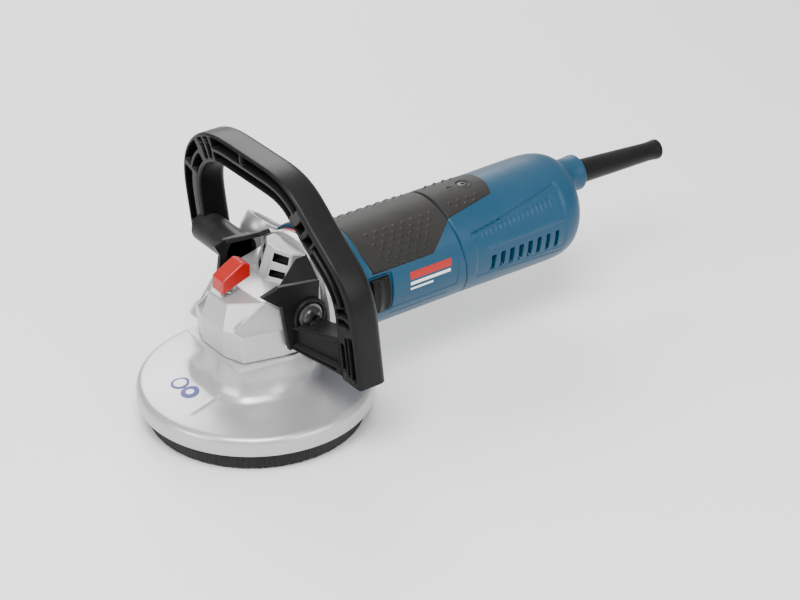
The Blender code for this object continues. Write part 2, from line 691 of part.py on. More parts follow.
# ---- motor ------------------------------------------------------------------
def motor_group():
    """Armature with its fan and commutator, the stator, bearings and brushes."""
    centre = (0, 0, MOTOR_Z)
    inner = CONE - GEAR_FACE
    step = CONE + 0.4
    shaft = [(PINION_BORE - GAP, inner), (PINION_BORE - GAP, step), (SHAFT_R, step), (SHAFT_R, MOTOR_END)]
    make("armature_shaft", turned(shaft, 16, "X", centre, False), (STEEL, 0.3, 1), centre)
    hub = SHAFT_R + GAP
    core = [(hub, CORE_X), (CORE_R, CORE_X), (CORE_R, CORE_X + CORE_L), (hub, CORE_X + CORE_L)]
    make("armature_core", turned(core, 32, "X", centre), (STEEL, 0.5, 0.8), centre)
    com = COM_X
    rings = [(hub, com), (COM_R, com), (COM_R, com + COM_L), (hub, com + COM_L)]
    make("commutator", turned(rings, 24, "X", centre), (COPPER, 0.35, 1), centre)
    fan()
    bearing("motor_bearing_front", SHAFT_R + GAP, FRONT_BEARING_R, SEAT_X + 2.4, 9.0, "X")
    seat_r = FRONT_BEARING_R + SEAT_WALL
    bore = FRONT_BEARING_R + GAP
    seat = [
        (SHAFT_R + 3.5, SEAT_X), (seat_r, SEAT_X), (seat_r, SEAT_X + SEAT_L), (bore, SEAT_X + SEAT_L),
        (bore, SEAT_X + 2.1), (SHAFT_R + 3.5, SEAT_X + 2.1),
    ]
    make("bearing_seat", turned(seat, 32, "X", centre), (LIGHT_METAL, 0.5, 0.7))
    stator()
    brush_gear(com)


def fan():
    """Cooling fan: a disc with blades on its rear face."""
    x = FAN_X
    count = 12
    marks = []
    for k in range(count):
        for share, high in ((0.0, 0), (0.02, 1), (0.28, 1), (0.3, 0)):
            marks.append((2 * math.pi * (k + share) / count, high))

    def ring(radius, lift):
        return [(x + lift * high + 2.0, radius * math.cos(a), MOTOR_Z + radius * math.sin(a)) for a, high in marks]

    def flat(radius, at):
        return [(at, radius * math.cos(a), MOTOR_Z + radius * math.sin(a)) for a, _ in marks]

    hub = SHAFT_R + GAP
    rings = [flat(hub, x), flat(FAN_R, x), ring(FAN_R, FAN_H), ring(13.0, FAN_H), flat(hub, x + 2.0)]
    make("fan", loft(rings, True), (BLACK, 0.5, 0), (0, 0, MOTOR_Z))


def stator():
    """Laminated ring with two poles, and a field coil around each pole."""
    x0, x1 = CORE_X, CORE_X + CORE_L
    outer_r = BORE_R - 4.8
    slot = outer_r - 4.0
    bore = CORE_R + RUN
    marks = []
    for quarter in (0, 180):
        marks += [(quarter + a, bore) for a in range(-56, 57, 14)]
        marks += [(quarter + a, slot) for a in (58, 74, 90, 106, 122)]

    def inside(x):
        return [on_body(x, a, r) for a, r in marks]

    def outside(x):
        return [on_body(x, a, outer_r) for a, _ in marks]

    make("stator_core", loft([outside(x0), outside(x1), inside(x1), inside(x0)], True), (STEEL, 0.6, 0.6))
    for name, mid in (("field_coil_left", 0), ("field_coil_right", 180)):
        place = span(x0 - COIL_END, x1 + COIL_END, mid - 86, mid + 86)
        coil = make(name, patch(place, 4, 12, bore + 0.8, slot - GAP), (COPPER, 0.5, 0.8))
        hole = patch(span(x0 - GAP, x1 + GAP, mid - 61, mid + 61), 2, 10, bore - 2, slot + 2)
        cut(coil, hole)


def brush_gear(com):
    """Bridge with the rear bearing, and two carbon brushes in their holders."""
    x = com + 13.6
    outer = BORE_R - GAP
    centre = (0, 0, MOTOR_Z)
    bore = REAR_BEARING_R + GAP
    hub = REAR_BEARING_R + 3.5
    profile = [
        (SHAFT_R + 2.5, x), (outer, x), (outer, x + 2.5), (hub, x + 2.5), (hub, x + 10.0), (bore, x + 10.0),
        (bore, x + 2.0), (SHAFT_R + 2.5, x + 2.0),
    ]
    bridge = make("brush_bridge", turned(profile, 24, "X", centre, phase=0.3), (BLACK, 0.5, 0))
    windows = [patch(span(x - 1, x + 5, a - 27, a + 27), 1, 2, hub + 2, outer - 5) for a in (45, 135, 225, 315)]
    cut(bridge, merge(*windows))
    cut(bridge, box((x - 1, -outer - 2, MOTOR_Z - 3.6), (x + 4, -outer + 4.2, MOTOR_Z + 3.6)))
    bearing("motor_bearing_rear", SHAFT_R + GAP, REAR_BEARING_R, x + 2.4, 7.0, "X")
    for name, side in (("left", -1), ("right", 1)):
        near, far = side * (COM_R + GAP), side * 26.0
        lo, hi = sorted((near, far))
        carbon_z = 3.2
        x0, x1 = com + 1.6, com + 10.4
        block = box((x0 + 1.4, lo, MOTOR_Z - carbon_z), (x1 - 1.4, hi, MOTOR_Z + carbon_z))
        make(f"carbon_brush_{name}", block, ((0.03, 0.03, 0.03), 0.6, 0.2))
        lo, hi = sorted((side * 14.5, side * 28.0))
        case = box((x0, lo, MOTOR_Z - carbon_z - 1.6), (com + 13.3, hi, MOTOR_Z + carbon_z + 1.6))
        holder = make(f"brush_holder_{name}", case, ((0.5, 0.38, 0.15), 0.4, 1))
        slot_z = carbon_z + GAP
        slot = box((x0 + 1.4 - GAP, lo - 1, MOTOR_Z - slot_z), (x1 - 1.4 + GAP, hi + 1, MOTOR_Z + slot_z))
        cut(holder, slot)


# ---- body -------------------------------------------------------------------
def ribbed(angle):
    """Inner radius share: four ribs inside the motor housing carry the stator."""
    turn = (math.degrees(angle) - 45) % 90
    near = min(turn, 90 - turn)
    return 1.0 if near > 5 else (BORE_R - 4.5) / BORE_R


def motor_housing():
    """Blue body shell from the front neck to the seam, with ribs for the stator."""
    n = 40
    spigot = RIM_R - AIR_RING_W - GAP
    x0 = HEAD_REAR + GAP
    x1 = x0 + 3.4 + GAP
    neck = BODY_R + NECK_R_UP
    outer = [
        ring_x(x0, spigot, n), ring_x(x1, spigot, n), ring_x(x1, neck - 1.5, n), ring_x(x1 + 1.5, neck, n),
        ring_x(x1 + 5, neck, n), ring_x(NECK_END - 12, BODY_R + 2.2, n), ring_x(NECK_END, BODY_R, n),
        ring_x(SEAM_X, BODY_R, n, SEAM_LEAN),
    ]
    inner = [
        ring_x(SEAM_X, BORE_R, n, SEAM_LEAN), ring_x(CORE_X + CORE_L + 6, BORE_R, n),
        ring_x(CORE_X + CORE_L + 5, BORE_R, n, 0, ribbed), ring_x(CORE_X - 3, BORE_R, n, 0, ribbed),
        ring_x(CORE_X - 4, BORE_R, n), ring_x(x0 + 9, BORE_R - 3, n), ring_x(x0, FRONT_BEARING_R + 9.2, n),
    ]
    body = make("motor_housing", loft(outer + inner, True), (BLUE, 0.45, 0))
    holes = []
    for x, y, z in head_screw_places():
        holes.append(turned([(SCREW_R + GAP, x), (SCREW_R + GAP, x + 18.6)], 10, "X", (0, y, z), False))
    cut(body, merge(*holes))
    low = BODY_R - PAD_DEPTH
    cut(body, patch(grip_front(2 * GAP), 4, 20, low, BODY_R + 6))
    s0 = SWITCH_X - SWITCH_TRAVEL - RUN
    sweep = SWITCH_SWEEP + 1.2
    cut(body, patch(span(s0, SWITCH_X + SWITCH_L + RUN, -sweep, sweep), 4, 6, low, BODY_R + 8))
    cut(body, patch(label_place(GAP), 3, 6, BODY_R - 0.9, BODY_R + 3))
    slot = box((ROD_X - SWITCH_TRAVEL, -BODY_R - 1, MOTOR_Z - 2.6), (ROD_X + 8, -BORE_R + 3, MOTOR_Z + 2.6))
    cut(body, slot)
    return body


def seam_at(degrees, radius=BODY_R):
    """Where the seam crosses the body's surface."""
    return SEAM_X + SEAM_LEAN * radius * math.sin(math.radians(degrees))


def grip_front(margin=0.0):
    """Outline of the front grip pad: cut corners behind, a sloping front edge."""
    wide = margin / BODY_R * 57.3
    low = GRIP_LOW

    def place(u, v):
        degrees = low - wide + v * (180 - 2 * low + 2 * wide)
        edge = max(0.0, min(degrees - low, 180 - low - degrees))
        start = NECK_END - 2 + 5 * max(0.0, 1 - edge / 25) - margin
        stop = min(SEAM_X - 24.6 + 0.72 * edge, seam_at(degrees) - GAP) + margin
        return start + u * (stop - start), degrees

    return place


def label_place(margin=0.0):
    """Outline of the label plate on the left side."""
    x0 = SWITCH_X + SWITCH_L + 3.5
    edge = margin / BODY_R * 57.3
    return span(x0 - margin, SEAM_X - 6 + margin, -21 - edge, 14 + edge)


def rear_pad(margin=0.0):
    """Outline of the rear grip pad on the cover."""
    def place(u, v):
        edge = min(v, 1 - v)
        start = SEAM_X - 3.4 - margin
        stop = SEAM_X + 36 + 3.5 * min(1.0, edge / 0.3) + margin
        low = 52 + 11 * u
        wide = margin / BODY_R * 57.3
        return start + u * (stop - start), (low - wide) + v * (180 - 2 * low + 2 * wide)
    return place


def rear_cover():
    """Blue rear shell with air slots, a rounded end and the cable neck."""
    n = 40
    swell = REAR_SWELL
    r = BODY_R
    outer = [
        ring_x(BODY_END, r - 12, n), ring_x(BODY_END - 2.5, r - 5, n), ring_x(BODY_END - 7, r - 0.6, n),
        ring_x(BODY_END - 14, r + swell, n), ring_x(SEAM_X + 58, r + swell * 0.7, n),
        ring_x(SEAM_X + GAP, r, n, SEAM_LEAN),
    ]
    w = BODY_WALL
    inner = [
        ring_x(SEAM_X + GAP, r - w, n, SEAM_LEAN), ring_x(SEAM_X + 58, r + swell * 0.7 - w, n),
        ring_x(BODY_END - 14, r + swell - w, n), ring_x(BODY_END - 9, r - w - 2, n),
        ring_x(BODY_END - w, r - 13, n),
    ]
    body = make("rear_cover", loft(outer + inner), (BLUE, 0.45, 0))
    neck = [
        (NECK_R + 2.5, BODY_END - 8), (NECK_R + 1.0, BODY_END + 4), (NECK_R, BODY_END + 7),
        (NECK_R, NECK_X - 1), (NECK_R - 1.2, NECK_X),
    ]
    add(body, turned(neck, 32, "X", (0, 0, NECK_Z), False))
    inside = [(SLEEVE_R + 2.6, BODY_END - 12), (SLEEVE_R + 2.6, NECK_X - 6), (SLEEVE_R + 0.9, NECK_X - 6)]
    inside.append((SLEEVE_R + 0.9, NECK_X + 2))
    cut(body, turned(inside, 24, "X", (0, 0, NECK_Z), False))
    cut(body, patch(rear_pad(GAP), 6, 10, r - PAD_DEPTH, r + 6))
    slots = []
    for side in (0, 180):
        for k in range(8):
            x = 164.5 + 7.6 * k
            lo, hi = (-19, 0) if side == 0 else (180, 199)
            slots.append(patch(span(x, x + 3.4, lo, hi), 1, 1, r - w - 4, r + 6))
    cut(body, merge(*slots))
    top = BODY_R - PAD_DEPTH - 1.0
    holes = []
    for side in (1, -1):
        step = [(SCREW_R + GAP, side * 25), (SCREW_R + GAP, side * top), (SCREW_HEAD_R + GAP, side * top)]
        step.append((SCREW_HEAD_R + GAP, side * 60))
        holes.append(turned(step, 12, centre=(COVER_SCREW_X, 0, MOTOR_Z), closed=False, phase=0.3))
    cut(body, merge(*holes))
    return body


def grip_pads():
    """Soft grip pads over the front of the body and the top of the cover."""
    low = BODY_R - PAD_DEPTH + GAP
    high = BODY_R + PAD_PROUD
    make("grip_pad_front", patch(grip_front(), 4, 20, low, high), (GRIP, 0.75, 0))
    pad = make("grip_pad_rear", patch(rear_pad(), 6, 10, low, high), (GRIP, 0.75, 0))
    hole = [(SCREW_HEAD_R + 1.2, 10), (SCREW_HEAD_R + 1.2, 60)]
    cut(pad, turned(hole, 16, centre=(COVER_SCREW_X, 0, MOTOR_Z), closed=False))


def small_body_parts():
    """Air ring, label plate, slide switch, screws, sleeve and what is inside the cover."""
    x0 = HEAD_REAR + GAP
    deep = RIM_R - AIR_RING_W
    ring = [(deep, x0), (RIM_R + 0.2, x0), (RIM_R + 0.2, x0 + 3.4), (deep, x0 + 3.4)]
    make("air_ring", turned(ring, 48, "X", (0, 0, MOTOR_Z)), (RED, 0.35, 0))
    make("label_plate", patch(label_place(), 3, 6, BODY_R - 0.6, BODY_R - 0.1), (BLUE, 0.5, 0))
    sweep = SWITCH_SWEEP
    low = BODY_R - PAD_DEPTH + GAP
    place = span(SWITCH_X, SWITCH_X + SWITCH_L, -sweep, sweep)
    make("slide_switch", patch(place, 4, 6, low, BODY_R + 1.8), (BLACK, 0.5, 0), (SWITCH_X, -BODY_R, MOTOR_Z))
    for k, (x, y, z) in enumerate(head_screw_places()):
        screw = [(SCREW_HEAD_R, x - 3.2), (SCREW_HEAD_R, x - GAP), (SCREW_R, x - GAP), (SCREW_R, x + 18)]
        make(f"head_screw_{k + 1}", turned(screw, 12, "X", (0, y, z), False), (STEEL, 0.3, 1))
    top = BODY_R - PAD_DEPTH - 1.0 + GAP
    for name, side in (("top", 1), ("bottom", -1)):
        screw = [(SCREW_R, side * (top - 12)), (SCREW_R, side * top), (SCREW_HEAD_R, side * top)]
        screw.append((SCREW_HEAD_R, side * (top + 2.0)))
        make(f"cover_screw_{name}", turned(screw, 12, centre=(COVER_SCREW_X, 0, MOTOR_Z), closed=False),
             (STEEL, 0.3, 1))
    switch_rod()
    sleeve()
    make("switch_unit", box((185, -20, MOTOR_Z - 18), (215, -6, MOTOR_Z + 8)), (BLACK, 0.5, 0))
    make("electronics", box((170, -2, MOTOR_Z - 16), (222, 22, MOTOR_Z + 12)), ((0.1, 0.12, 0.1), 0.6, 0))
    clamp = box((224, -11, NECK_Z - 9), (234, 11, NECK_Z - CABLE_R - 1))
    make("cable_clamp", clamp, (BLACK, 0.5, 0))


def switch_rod():
    """Rod inside the left of the body, from the slide switch back to the switch unit."""
    y0 = -(BORE_R - 0.8)
    y1 = y0 + 2.6
    rod = make("switch_rod", box((ROD_X, y0, MOTOR_Z - 3), (184, y1, MOTOR_Z + 3)), (BLACK, 0.5, 0))
    post = box((ROD_X + 1, -(BODY_R - PAD_DEPTH), MOTOR_Z - 2), (ROD_X + 7, y0 + 1, MOTOR_Z + 2))
    add(rod, post)


def sleeve():
    """Rubber bend protector with a head inside the neck and a flared tip."""
    start = NECK_X - 12
    base = Vector((start, 0, NECK_Z))
    length = SLEEVE_END - start
    profile = [
        (CABLE_R, 0), (SLEEVE_R + 2.0, 0), (SLEEVE_R + 2.0, 5), (SLEEVE_R, 5.6), (SLEEVE_R, 18),
        (SLEEVE_TIP_R, length - 9), (SLEEVE_FLARE_R, length - 2.5), (SLEEVE_FLARE_R, length - 0.8),
        (SLEEVE_FLARE_R - 0.8, length), (CABLE_R, length),
    ]
    direction = Vector((1, 0, -SLEEVE_DROOP)).normalized()
    shape = tilted(turned(profile, 24), base, direction)
    make("cable_sleeve", shape, (BLACK, 0.5, 0))


# ---- D-handle ---------------------------------------------------------------
def bow_path():
    """Centre line of the bow: (y, z) from the right leg's foot over the top to the left foot."""
    leg = HANDLE_W - HANDLE_BAR / 2
    top = HANDLE_TOP - HANDLE_BAR / 2
    points = [(leg, RIGHT_FOOT), (leg, RIGHT_FOOT + 17), (leg, top - 47)]
    turn_r = 44.0
    for k in range(1, 7):
        a = math.radians(15 * k)
        points.append((leg - turn_r + turn_r * math.cos(a), top - turn_r + turn_r * math.sin(a)))
    points += [(10, top), (-16, top)]
    points += arc_between((-16, top), 34.0, 90, 147)
    knee_y = -leg
    bend = 40.0
    knee = math.radians(33)
    foot = (knee_y + bend * (1 - math.cos(knee)), MOTOR_Z + 26.7 + bend * math.sin(knee))
    points += arc_between(foot, bend, 147, 180)
    points.append((knee_y, MOTOR_Z + 4.7))
    points.append((knee_y, HANDLE_FOOT))
    return points


def arc_between(start, radius, from_deg, to_deg, steps=5):
    """Points of an arc that starts at a point, its angles measured at its centre."""
    a0 = math.radians(from_deg)
    cy, cz = start[0] - radius * math.cos(a0), start[1] - radius * math.sin(a0)
    out = []
    for k in range(1, steps + 1):
        a = math.radians(from_deg + (to_deg - from_deg) * k / steps)
        out.append((cy + radius * math.cos(a), cz + radius * math.sin(a)))
    return out


def rake(y, z, depth):
    """A point of the handle's raked plane, at a depth behind its front face."""
    x = HANDLE_REACH_X - math.tan(math.radians(HANDLE_RAKE)) * (z - HANDLE_FOOT)
    return (x + depth, y, z)


def bow():
    """Rounded bar swept along the bow's centre line."""
    path = bow_path()
    half, deep = HANDLE_BAR / 2, HANDLE_DEPTH
    corner = 5.0
    section = []
    for cx, cy, start in ((1, 1, 0), (-1, 1, 90), (-1, -1, 180), (1, -1, 270)):
        for k in range(3):
            a = math.radians(start + 45 * k)
            section.append((cx * (half - corner) + corner * math.cos(a),
                            cy * (deep / 2 - corner) + corner * math.sin(a)))
    rings = []
    for i, (y, z) in enumerate(path):
        ahead = path[min(i + 1, len(path) - 1)]
        behind = path[max(i - 1, 0)]
        run = Vector((ahead[0] - behind[0], ahead[1] - behind[1])).normalized()
        out = Vector((run.y, -run.x))
        rings.append([rake(y + out.x * s, z + out.y * s, deep / 2 + d) for s, d in section])
    return loft(rings)


def lug_outline():
    """Side outline of a lug: the wing ahead of the bolt and the arch around it."""
    z = MOTOR_Z
    arch = []
    for k in range(5):
        a = math.radians(45 * k - 5)
        arch.append((BOLT_X + 11.6 * math.cos(a), BOLT_Z + 11.6 * math.sin(a)))
    front = [(-4.6, z + 23.3), (-7.4, z + 21.4), (-20.5, z + 32.6), (-7.4, z + 39.1)]
    low = [(-2.8, z + 8.4), (0.9, z - 13.0), (26.5, z - 8.0)]
    return [(22.8, z + 17.8), (22.8, z + 29.8), (13.5, z + 38.0)] + front[::-1] + low + [arch[0]]


def front_handle():
    """D-handle: the bow, two lugs on the gear head, a lower web and an upper bridge."""
    body = make("front_handle", bow(), (BLACK, 0.4, 0))
    for side in (-1, 1):
        ends = sorted((side * LUG_IN, side * LUG_OUT))
        add(body, prism(lug_outline(), ends[0], ends[1]))
    leg_in = HANDLE_W - HANDLE_BAR
    z0 = MOTOR_Z - 13.0
    web = loft([
        [(1.0, -LUG_IN - 1, z0 + 1), (26, -LUG_IN - 1, z0 + 1), (26, -LUG_IN - 1, z0 + 14), (1.0, -LUG_IN - 1, z0 + 14)],
        [(HANDLE_REACH_X, -leg_in - 4, HANDLE_FOOT + 0.6), (HANDLE_REACH_X + 20, -leg_in - 4, HANDLE_FOOT + 0.6),
         (HANDLE_REACH_X + 16, -leg_in - 4, HANDLE_FOOT + 33), (HANDLE_REACH_X - 3, -leg_in - 4, HANDLE_FOOT + 33)],
    ])
    add(body, web)
    boss = [(BOSS_R, LUG_IN + 1), (BOSS_R, leg_in + 6)]
    add(body, turned(boss, 20, "Y", (BOLT_X, 0, BOSS_Z), False))
    for side in (-1, 1):
        ends = sorted((side * (LUG_IN - 4), side * (LUG_OUT + 4)))
        seat = sorted((side * LUG_SEAT, side * (LUG_OUT + 8)))
        shank = turned([(BOLT_R + GAP, ends[0]), (BOLT_R + GAP, ends[1])], 12, "Y", (BOLT_X, 0, BOLT_Z), False)
        cut(body, shank)
        head = turned([(WASHER_R + GAP, seat[0]), (WASHER_R + GAP, seat[1])], 16, "Y", (BOLT_X, 0, BOLT_Z), False)
        cut(body, head)
    return body


def handle_bolts():
    """Two button-head bolts with washers through the lugs into the gear head."""
    for name, side in (("left", -1), ("right", 1)):
        seat = LUG_SEAT + GAP
        washer = [(BOLT_R + GAP, side * seat), (WASHER_R, side * seat)]
        washer += [(WASHER_R, side * (seat + WASHER_T)), (BOLT_R + GAP, side * (seat + WASHER_T))]
        centre = (BOLT_X, 0, BOLT_Z)
        make(f"bolt_washer_{name}", turned(washer, 16, "Y", centre), (STEEL, 0.35, 1))
        head = seat + WASHER_T + GAP
        bolt = [
            (BOLT_R, side * (LUG_IN - BOLT_GRIP)), (BOLT_R, side * head), (BOLT_HEAD_R, side * head),
            (BOLT_HEAD_R, side * (head + 1.5)), (BOLT_HEAD_R - 2.4, side * (head + BOLT_HEAD_H)),
            (2.6, side * (head + BOLT_HEAD_H)), (2.6, side * (head + 1.6)),
        ]
        make(f"handle_bolt_{name}", turned(bolt, 18, "Y", centre, False), (STEEL, 0.3, 1))


def clear_scene():
    """Remove the scene's objects."""
    for obj in list(bpy.data.objects):
        bpy.data.objects.remove(obj, do_unlink=True)


def main():
    """Build every piece of the grinder."""
    clear_scene()
    gear_housing()
    bearing_flange()
    spindle_lock()
    crown_gear()
    drive_pinion()
    spindle_group()
    dust_hood()
    dust_port()
    brush_group()
    motor_housing()
    motor_group()
    rear_cover()
    grip_pads()
    small_body_parts()
    front_handle()
    handle_bolts()


main()
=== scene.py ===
"""Studio scene of a concrete surface grinder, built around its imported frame.

Every new piece is a numpy surface: a grid of two parameters, or a profile carried
along a path.  Sizes are in metres, in the frame's own coordinates: +X runs rearwards
along the motor, +Y is the tool's right side, +Z is up.
"""
import math

import bmesh
import bpy
import numpy as np
from mathutils import Matrix, Vector


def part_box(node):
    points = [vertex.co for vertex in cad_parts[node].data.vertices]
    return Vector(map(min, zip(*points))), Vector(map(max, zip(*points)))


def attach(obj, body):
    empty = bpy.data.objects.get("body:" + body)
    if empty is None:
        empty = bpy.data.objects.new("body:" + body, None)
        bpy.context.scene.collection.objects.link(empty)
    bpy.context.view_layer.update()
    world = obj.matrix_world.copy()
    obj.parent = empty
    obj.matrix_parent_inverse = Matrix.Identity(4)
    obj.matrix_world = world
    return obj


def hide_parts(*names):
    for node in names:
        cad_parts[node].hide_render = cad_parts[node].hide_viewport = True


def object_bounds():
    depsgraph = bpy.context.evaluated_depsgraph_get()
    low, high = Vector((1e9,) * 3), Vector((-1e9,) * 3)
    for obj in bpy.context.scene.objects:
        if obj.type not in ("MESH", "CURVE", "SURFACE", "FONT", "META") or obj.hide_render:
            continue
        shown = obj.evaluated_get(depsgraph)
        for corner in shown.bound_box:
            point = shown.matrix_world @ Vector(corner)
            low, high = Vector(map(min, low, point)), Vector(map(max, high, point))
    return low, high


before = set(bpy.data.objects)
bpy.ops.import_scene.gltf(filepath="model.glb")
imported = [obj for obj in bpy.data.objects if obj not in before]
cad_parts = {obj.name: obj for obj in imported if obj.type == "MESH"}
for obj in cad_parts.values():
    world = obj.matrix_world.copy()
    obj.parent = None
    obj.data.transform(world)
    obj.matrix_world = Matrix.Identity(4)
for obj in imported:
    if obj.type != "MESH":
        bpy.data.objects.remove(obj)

bl_info = {
    "name": "Surface Grinder Studio",
    "version": (1, 0, 0),
    "blender": (4, 5, 0),
    "location": "3D View > Sidebar > Grinder",
    "description": "Builds the shells, casting, handle and brush of a surface grinder",
    "category": "Add Mesh",
}

MM = 0.001
START_BOX = [list(corner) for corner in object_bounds()]


# ---- places read from the frame ---------------------------------------------
def middle(node):
    """Centre of a node's box."""
    low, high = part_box(node)
    return (low + high) / 2


AXIS_Z = middle("air_ring").z                  # height of the motor's axis
BODY_R = -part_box("label_plate")[0].y + 0.0001  # outer radius of the body
HOOD_LOW, HOOD_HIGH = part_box("dust_hood")
RING_LOW, RING_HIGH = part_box("brush_ring")
HANDLE_LOW, HANDLE_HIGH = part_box("front_handle")
BOLT = middle("bolt_washer_left")              # on the bolt's axis, at the left washer

# The same places in millimetres, in which the shapes below are written.
AXIS = AXIS_Z / MM
R = BODY_R / MM
BOLT_Y, BOLT_Z = BOLT.y / MM, BOLT.z / MM
BAR_HALF = 10.0                                # half the handle bar's width
LEG_Y = -HANDLE_LOW.y / MM - BAR_HALF          # centre line of a leg
BAR_Z = HANDLE_HIGH.z / MM - BAR_HALF          # centre line of the top bar
FOOT_Z = HANDLE_LOW.z / MM
SEAM = 141.6                                   # seam between housing and cover, at the axis
SEAM_LEAN = -0.165                             # how far the seam leans forward per millimetre up
LUG_FACE = 35.9                                # inner face of the handle's lugs
HANDLE_RAKE = 6.0                              # degrees the handle leans forward
PORT_LEAN = 36.1                               # degrees the port leans rearwards
COVER_SCREW_X = 165.6                          # the cover's top screw


# ---- settings ---------------------------------------------------------------
def colour(name, value, note):
    """A colour property with a default."""
    return bpy.props.FloatVectorProperty(
        name=name, description=note, subtype="COLOR", size=4, min=0, max=1, default=(*value, 1)
    )


def length(name, value, note):
    """A length property in metres."""
    return bpy.props.FloatProperty(name=name, description=note, default=value, unit="LENGTH")


class GRINDER_PG_finish(bpy.types.PropertyGroup):
    """Colours of the tool's materials."""
    blue: colour("Body blue", (0.0005, 0.043, 0.090), "Textured nylon of the body shells")
    black: colour("Black plastic", (0.003, 0.003, 0.0032), "Satin plastic of the handle")
    grip: colour("Grip", (0.010, 0.0097, 0.0092), "Soft overmould of the grips")
    silver: colour("Casting", (0.43, 0.43, 0.435), "Painted light-metal casting")
    red: colour("Red", (0.34, 0.003, 0.0006), "Lock button and air ring")
    steel: colour("Steel", (0.50, 0.50, 0.51), "Bright steel parts")
    sticker: colour("Sticker", (0.004, 0.008, 0.16), "Plain round stickers")


class GRINDER_PG_sizes(bpy.types.PropertyGroup):
    """Sizes of the details that the frame leaves to this file."""
    bump_h: length("Grip bump", 0.0009, "Height of the bumps on the grips")
    bump_step: length("Bump spacing", 0.0072, "Distance between bumps along the body")
    pocket_depth: length("Pocket depth", 0.0085, "Depth of the pockets in the handle's front face")
    bristle_step: length("Bristle", 0.0011, "Width of one tuft of bristles")
    edge: length("Casting edge", 0.0009, "Rounding of the casting's edges")


# ---- materials --------------------------------------------------------------
FLOAT, COLOR = "NodeSocketFloat", "NodeSocketColor"
GROUPS = {}
LOOKS = {}


def feed(tree, kind, inputs, output=0, **settings):
    """Add a shader node, set it, feed its inputs with sockets or values, and return one output."""
    made = tree.nodes.new(kind)
    for key, value in settings.items():
        setattr(made, key, value)
    for key, value in inputs.items():
        if isinstance(value, bpy.types.NodeSocket):
            tree.links.new(value, made.inputs[key])
        else:
            made.inputs[key].default_value = value
    return made.outputs if output is None else made.outputs[output]


def maths(tree, operation, *inputs, **settings):
    """A Math node's result."""
    return feed(tree, "ShaderNodeMath", dict(enumerate(inputs)), operation=operation, **settings)


def noise(tree, scale, **inputs):
    """A noise over the object's own coordinates."""
    where = feed(tree, "ShaderNodeTexCoord", {}, "Object")
    return feed(tree, "ShaderNodeTexNoise", {"Vector": where, "Scale": scale, **inputs}, "Fac")


def swing(tree, source, amount, level):
    """A level plus the centred noise times its amount."""
    return maths(tree, "MULTIPLY_ADD", maths(tree, "SUBTRACT", source, 0.5), amount, level)


def group(name, inputs, outputs):
    """A shader node group with named sockets: (tree, its given sockets, its output node's sockets)."""
    tree = bpy.data.node_groups.new(name, "ShaderNodeTree")
    for label, kind, value in inputs:
        socket = tree.interface.new_socket(label, in_out="INPUT", socket_type=kind)
        socket.default_value = value
    for label, kind in outputs:
        tree.interface.new_socket(label, in_out="OUTPUT", socket_type=kind)
    given = tree.nodes.new("NodeGroupInput").outputs
    return tree, given, tree.nodes.new("NodeGroupOutput").inputs


def surface_variation():
    """Group: a colour with slow patches, fine speckle and dust, and its roughness."""
    tree, given, result = group(
        "Surface variation",
        [("Color", COLOR, (0.5, 0.5, 0.5, 1)), ("Dust Color", COLOR, (0.5, 0.48, 0.45, 1)),
         ("Patch Scale", FLOAT, 30.0), ("Speckle Scale", FLOAT, 900.0), ("Patch", FLOAT, 0.1),
         ("Speckle", FLOAT, 0.05), ("Dust", FLOAT, 0.0), ("Roughness", FLOAT, 0.5), ("Rough Spread", FLOAT, 0.1)],
        [("Color", COLOR), ("Roughness", FLOAT)],
    )
    slow = noise(tree, given["Patch Scale"], Detail=4.0, Roughness=0.6)
    fine = noise(tree, given["Speckle Scale"], Detail=2.0, Roughness=0.6)
    value = maths(tree, "MULTIPLY", swing(tree, slow, given["Patch"], 1.0),
                  swing(tree, fine, given["Speckle"], 1.0))
    tinted = feed(tree, "ShaderNodeVectorMath", {0: given["Color"], "Scale": value}, operation="SCALE")
    normal = feed(tree, "ShaderNodeNewGeometry", {}, "Normal")
    height = feed(tree, "ShaderNodeSeparateXYZ", {0: normal}, "Z")
    upward = feed(tree, "ShaderNodeMapRange", {"Value": height, "From Min": 0.2, "From Max": 1.0})
    cloud = maths(tree, "MULTIPLY", maths(tree, "MULTIPLY", upward, given["Dust"]), slow)
    dusty = feed(tree, "ShaderNodeMix", {"Factor": cloud, 6: tinted, 7: given["Dust Color"]}, 2, data_type="RGBA")
    tree.links.new(dusty, result["Color"])
    tree.links.new(swing(tree, slow, given["Rough Spread"], given["Roughness"]), result["Roughness"])
    return tree


def mould_grain():
    """Group: spark-eroded or cast grain as a height, from two noises."""
    tree, given, result = group(
        "Mould grain",
        [("Scale", FLOAT, 1200.0), ("Coarse", FLOAT, 150.0), ("Mix", FLOAT, 0.3)],
        [("Height", FLOAT)],
    )
    fine, broad = noise(tree, given["Scale"], Detail=3.0), noise(tree, given["Coarse"], Detail=2.0)
    both = feed(tree, "ShaderNodeMix", {"Factor": given["Mix"], 2: fine, 3: broad}, data_type="FLOAT")
    tree.links.new(both, result["Height"])
    return tree


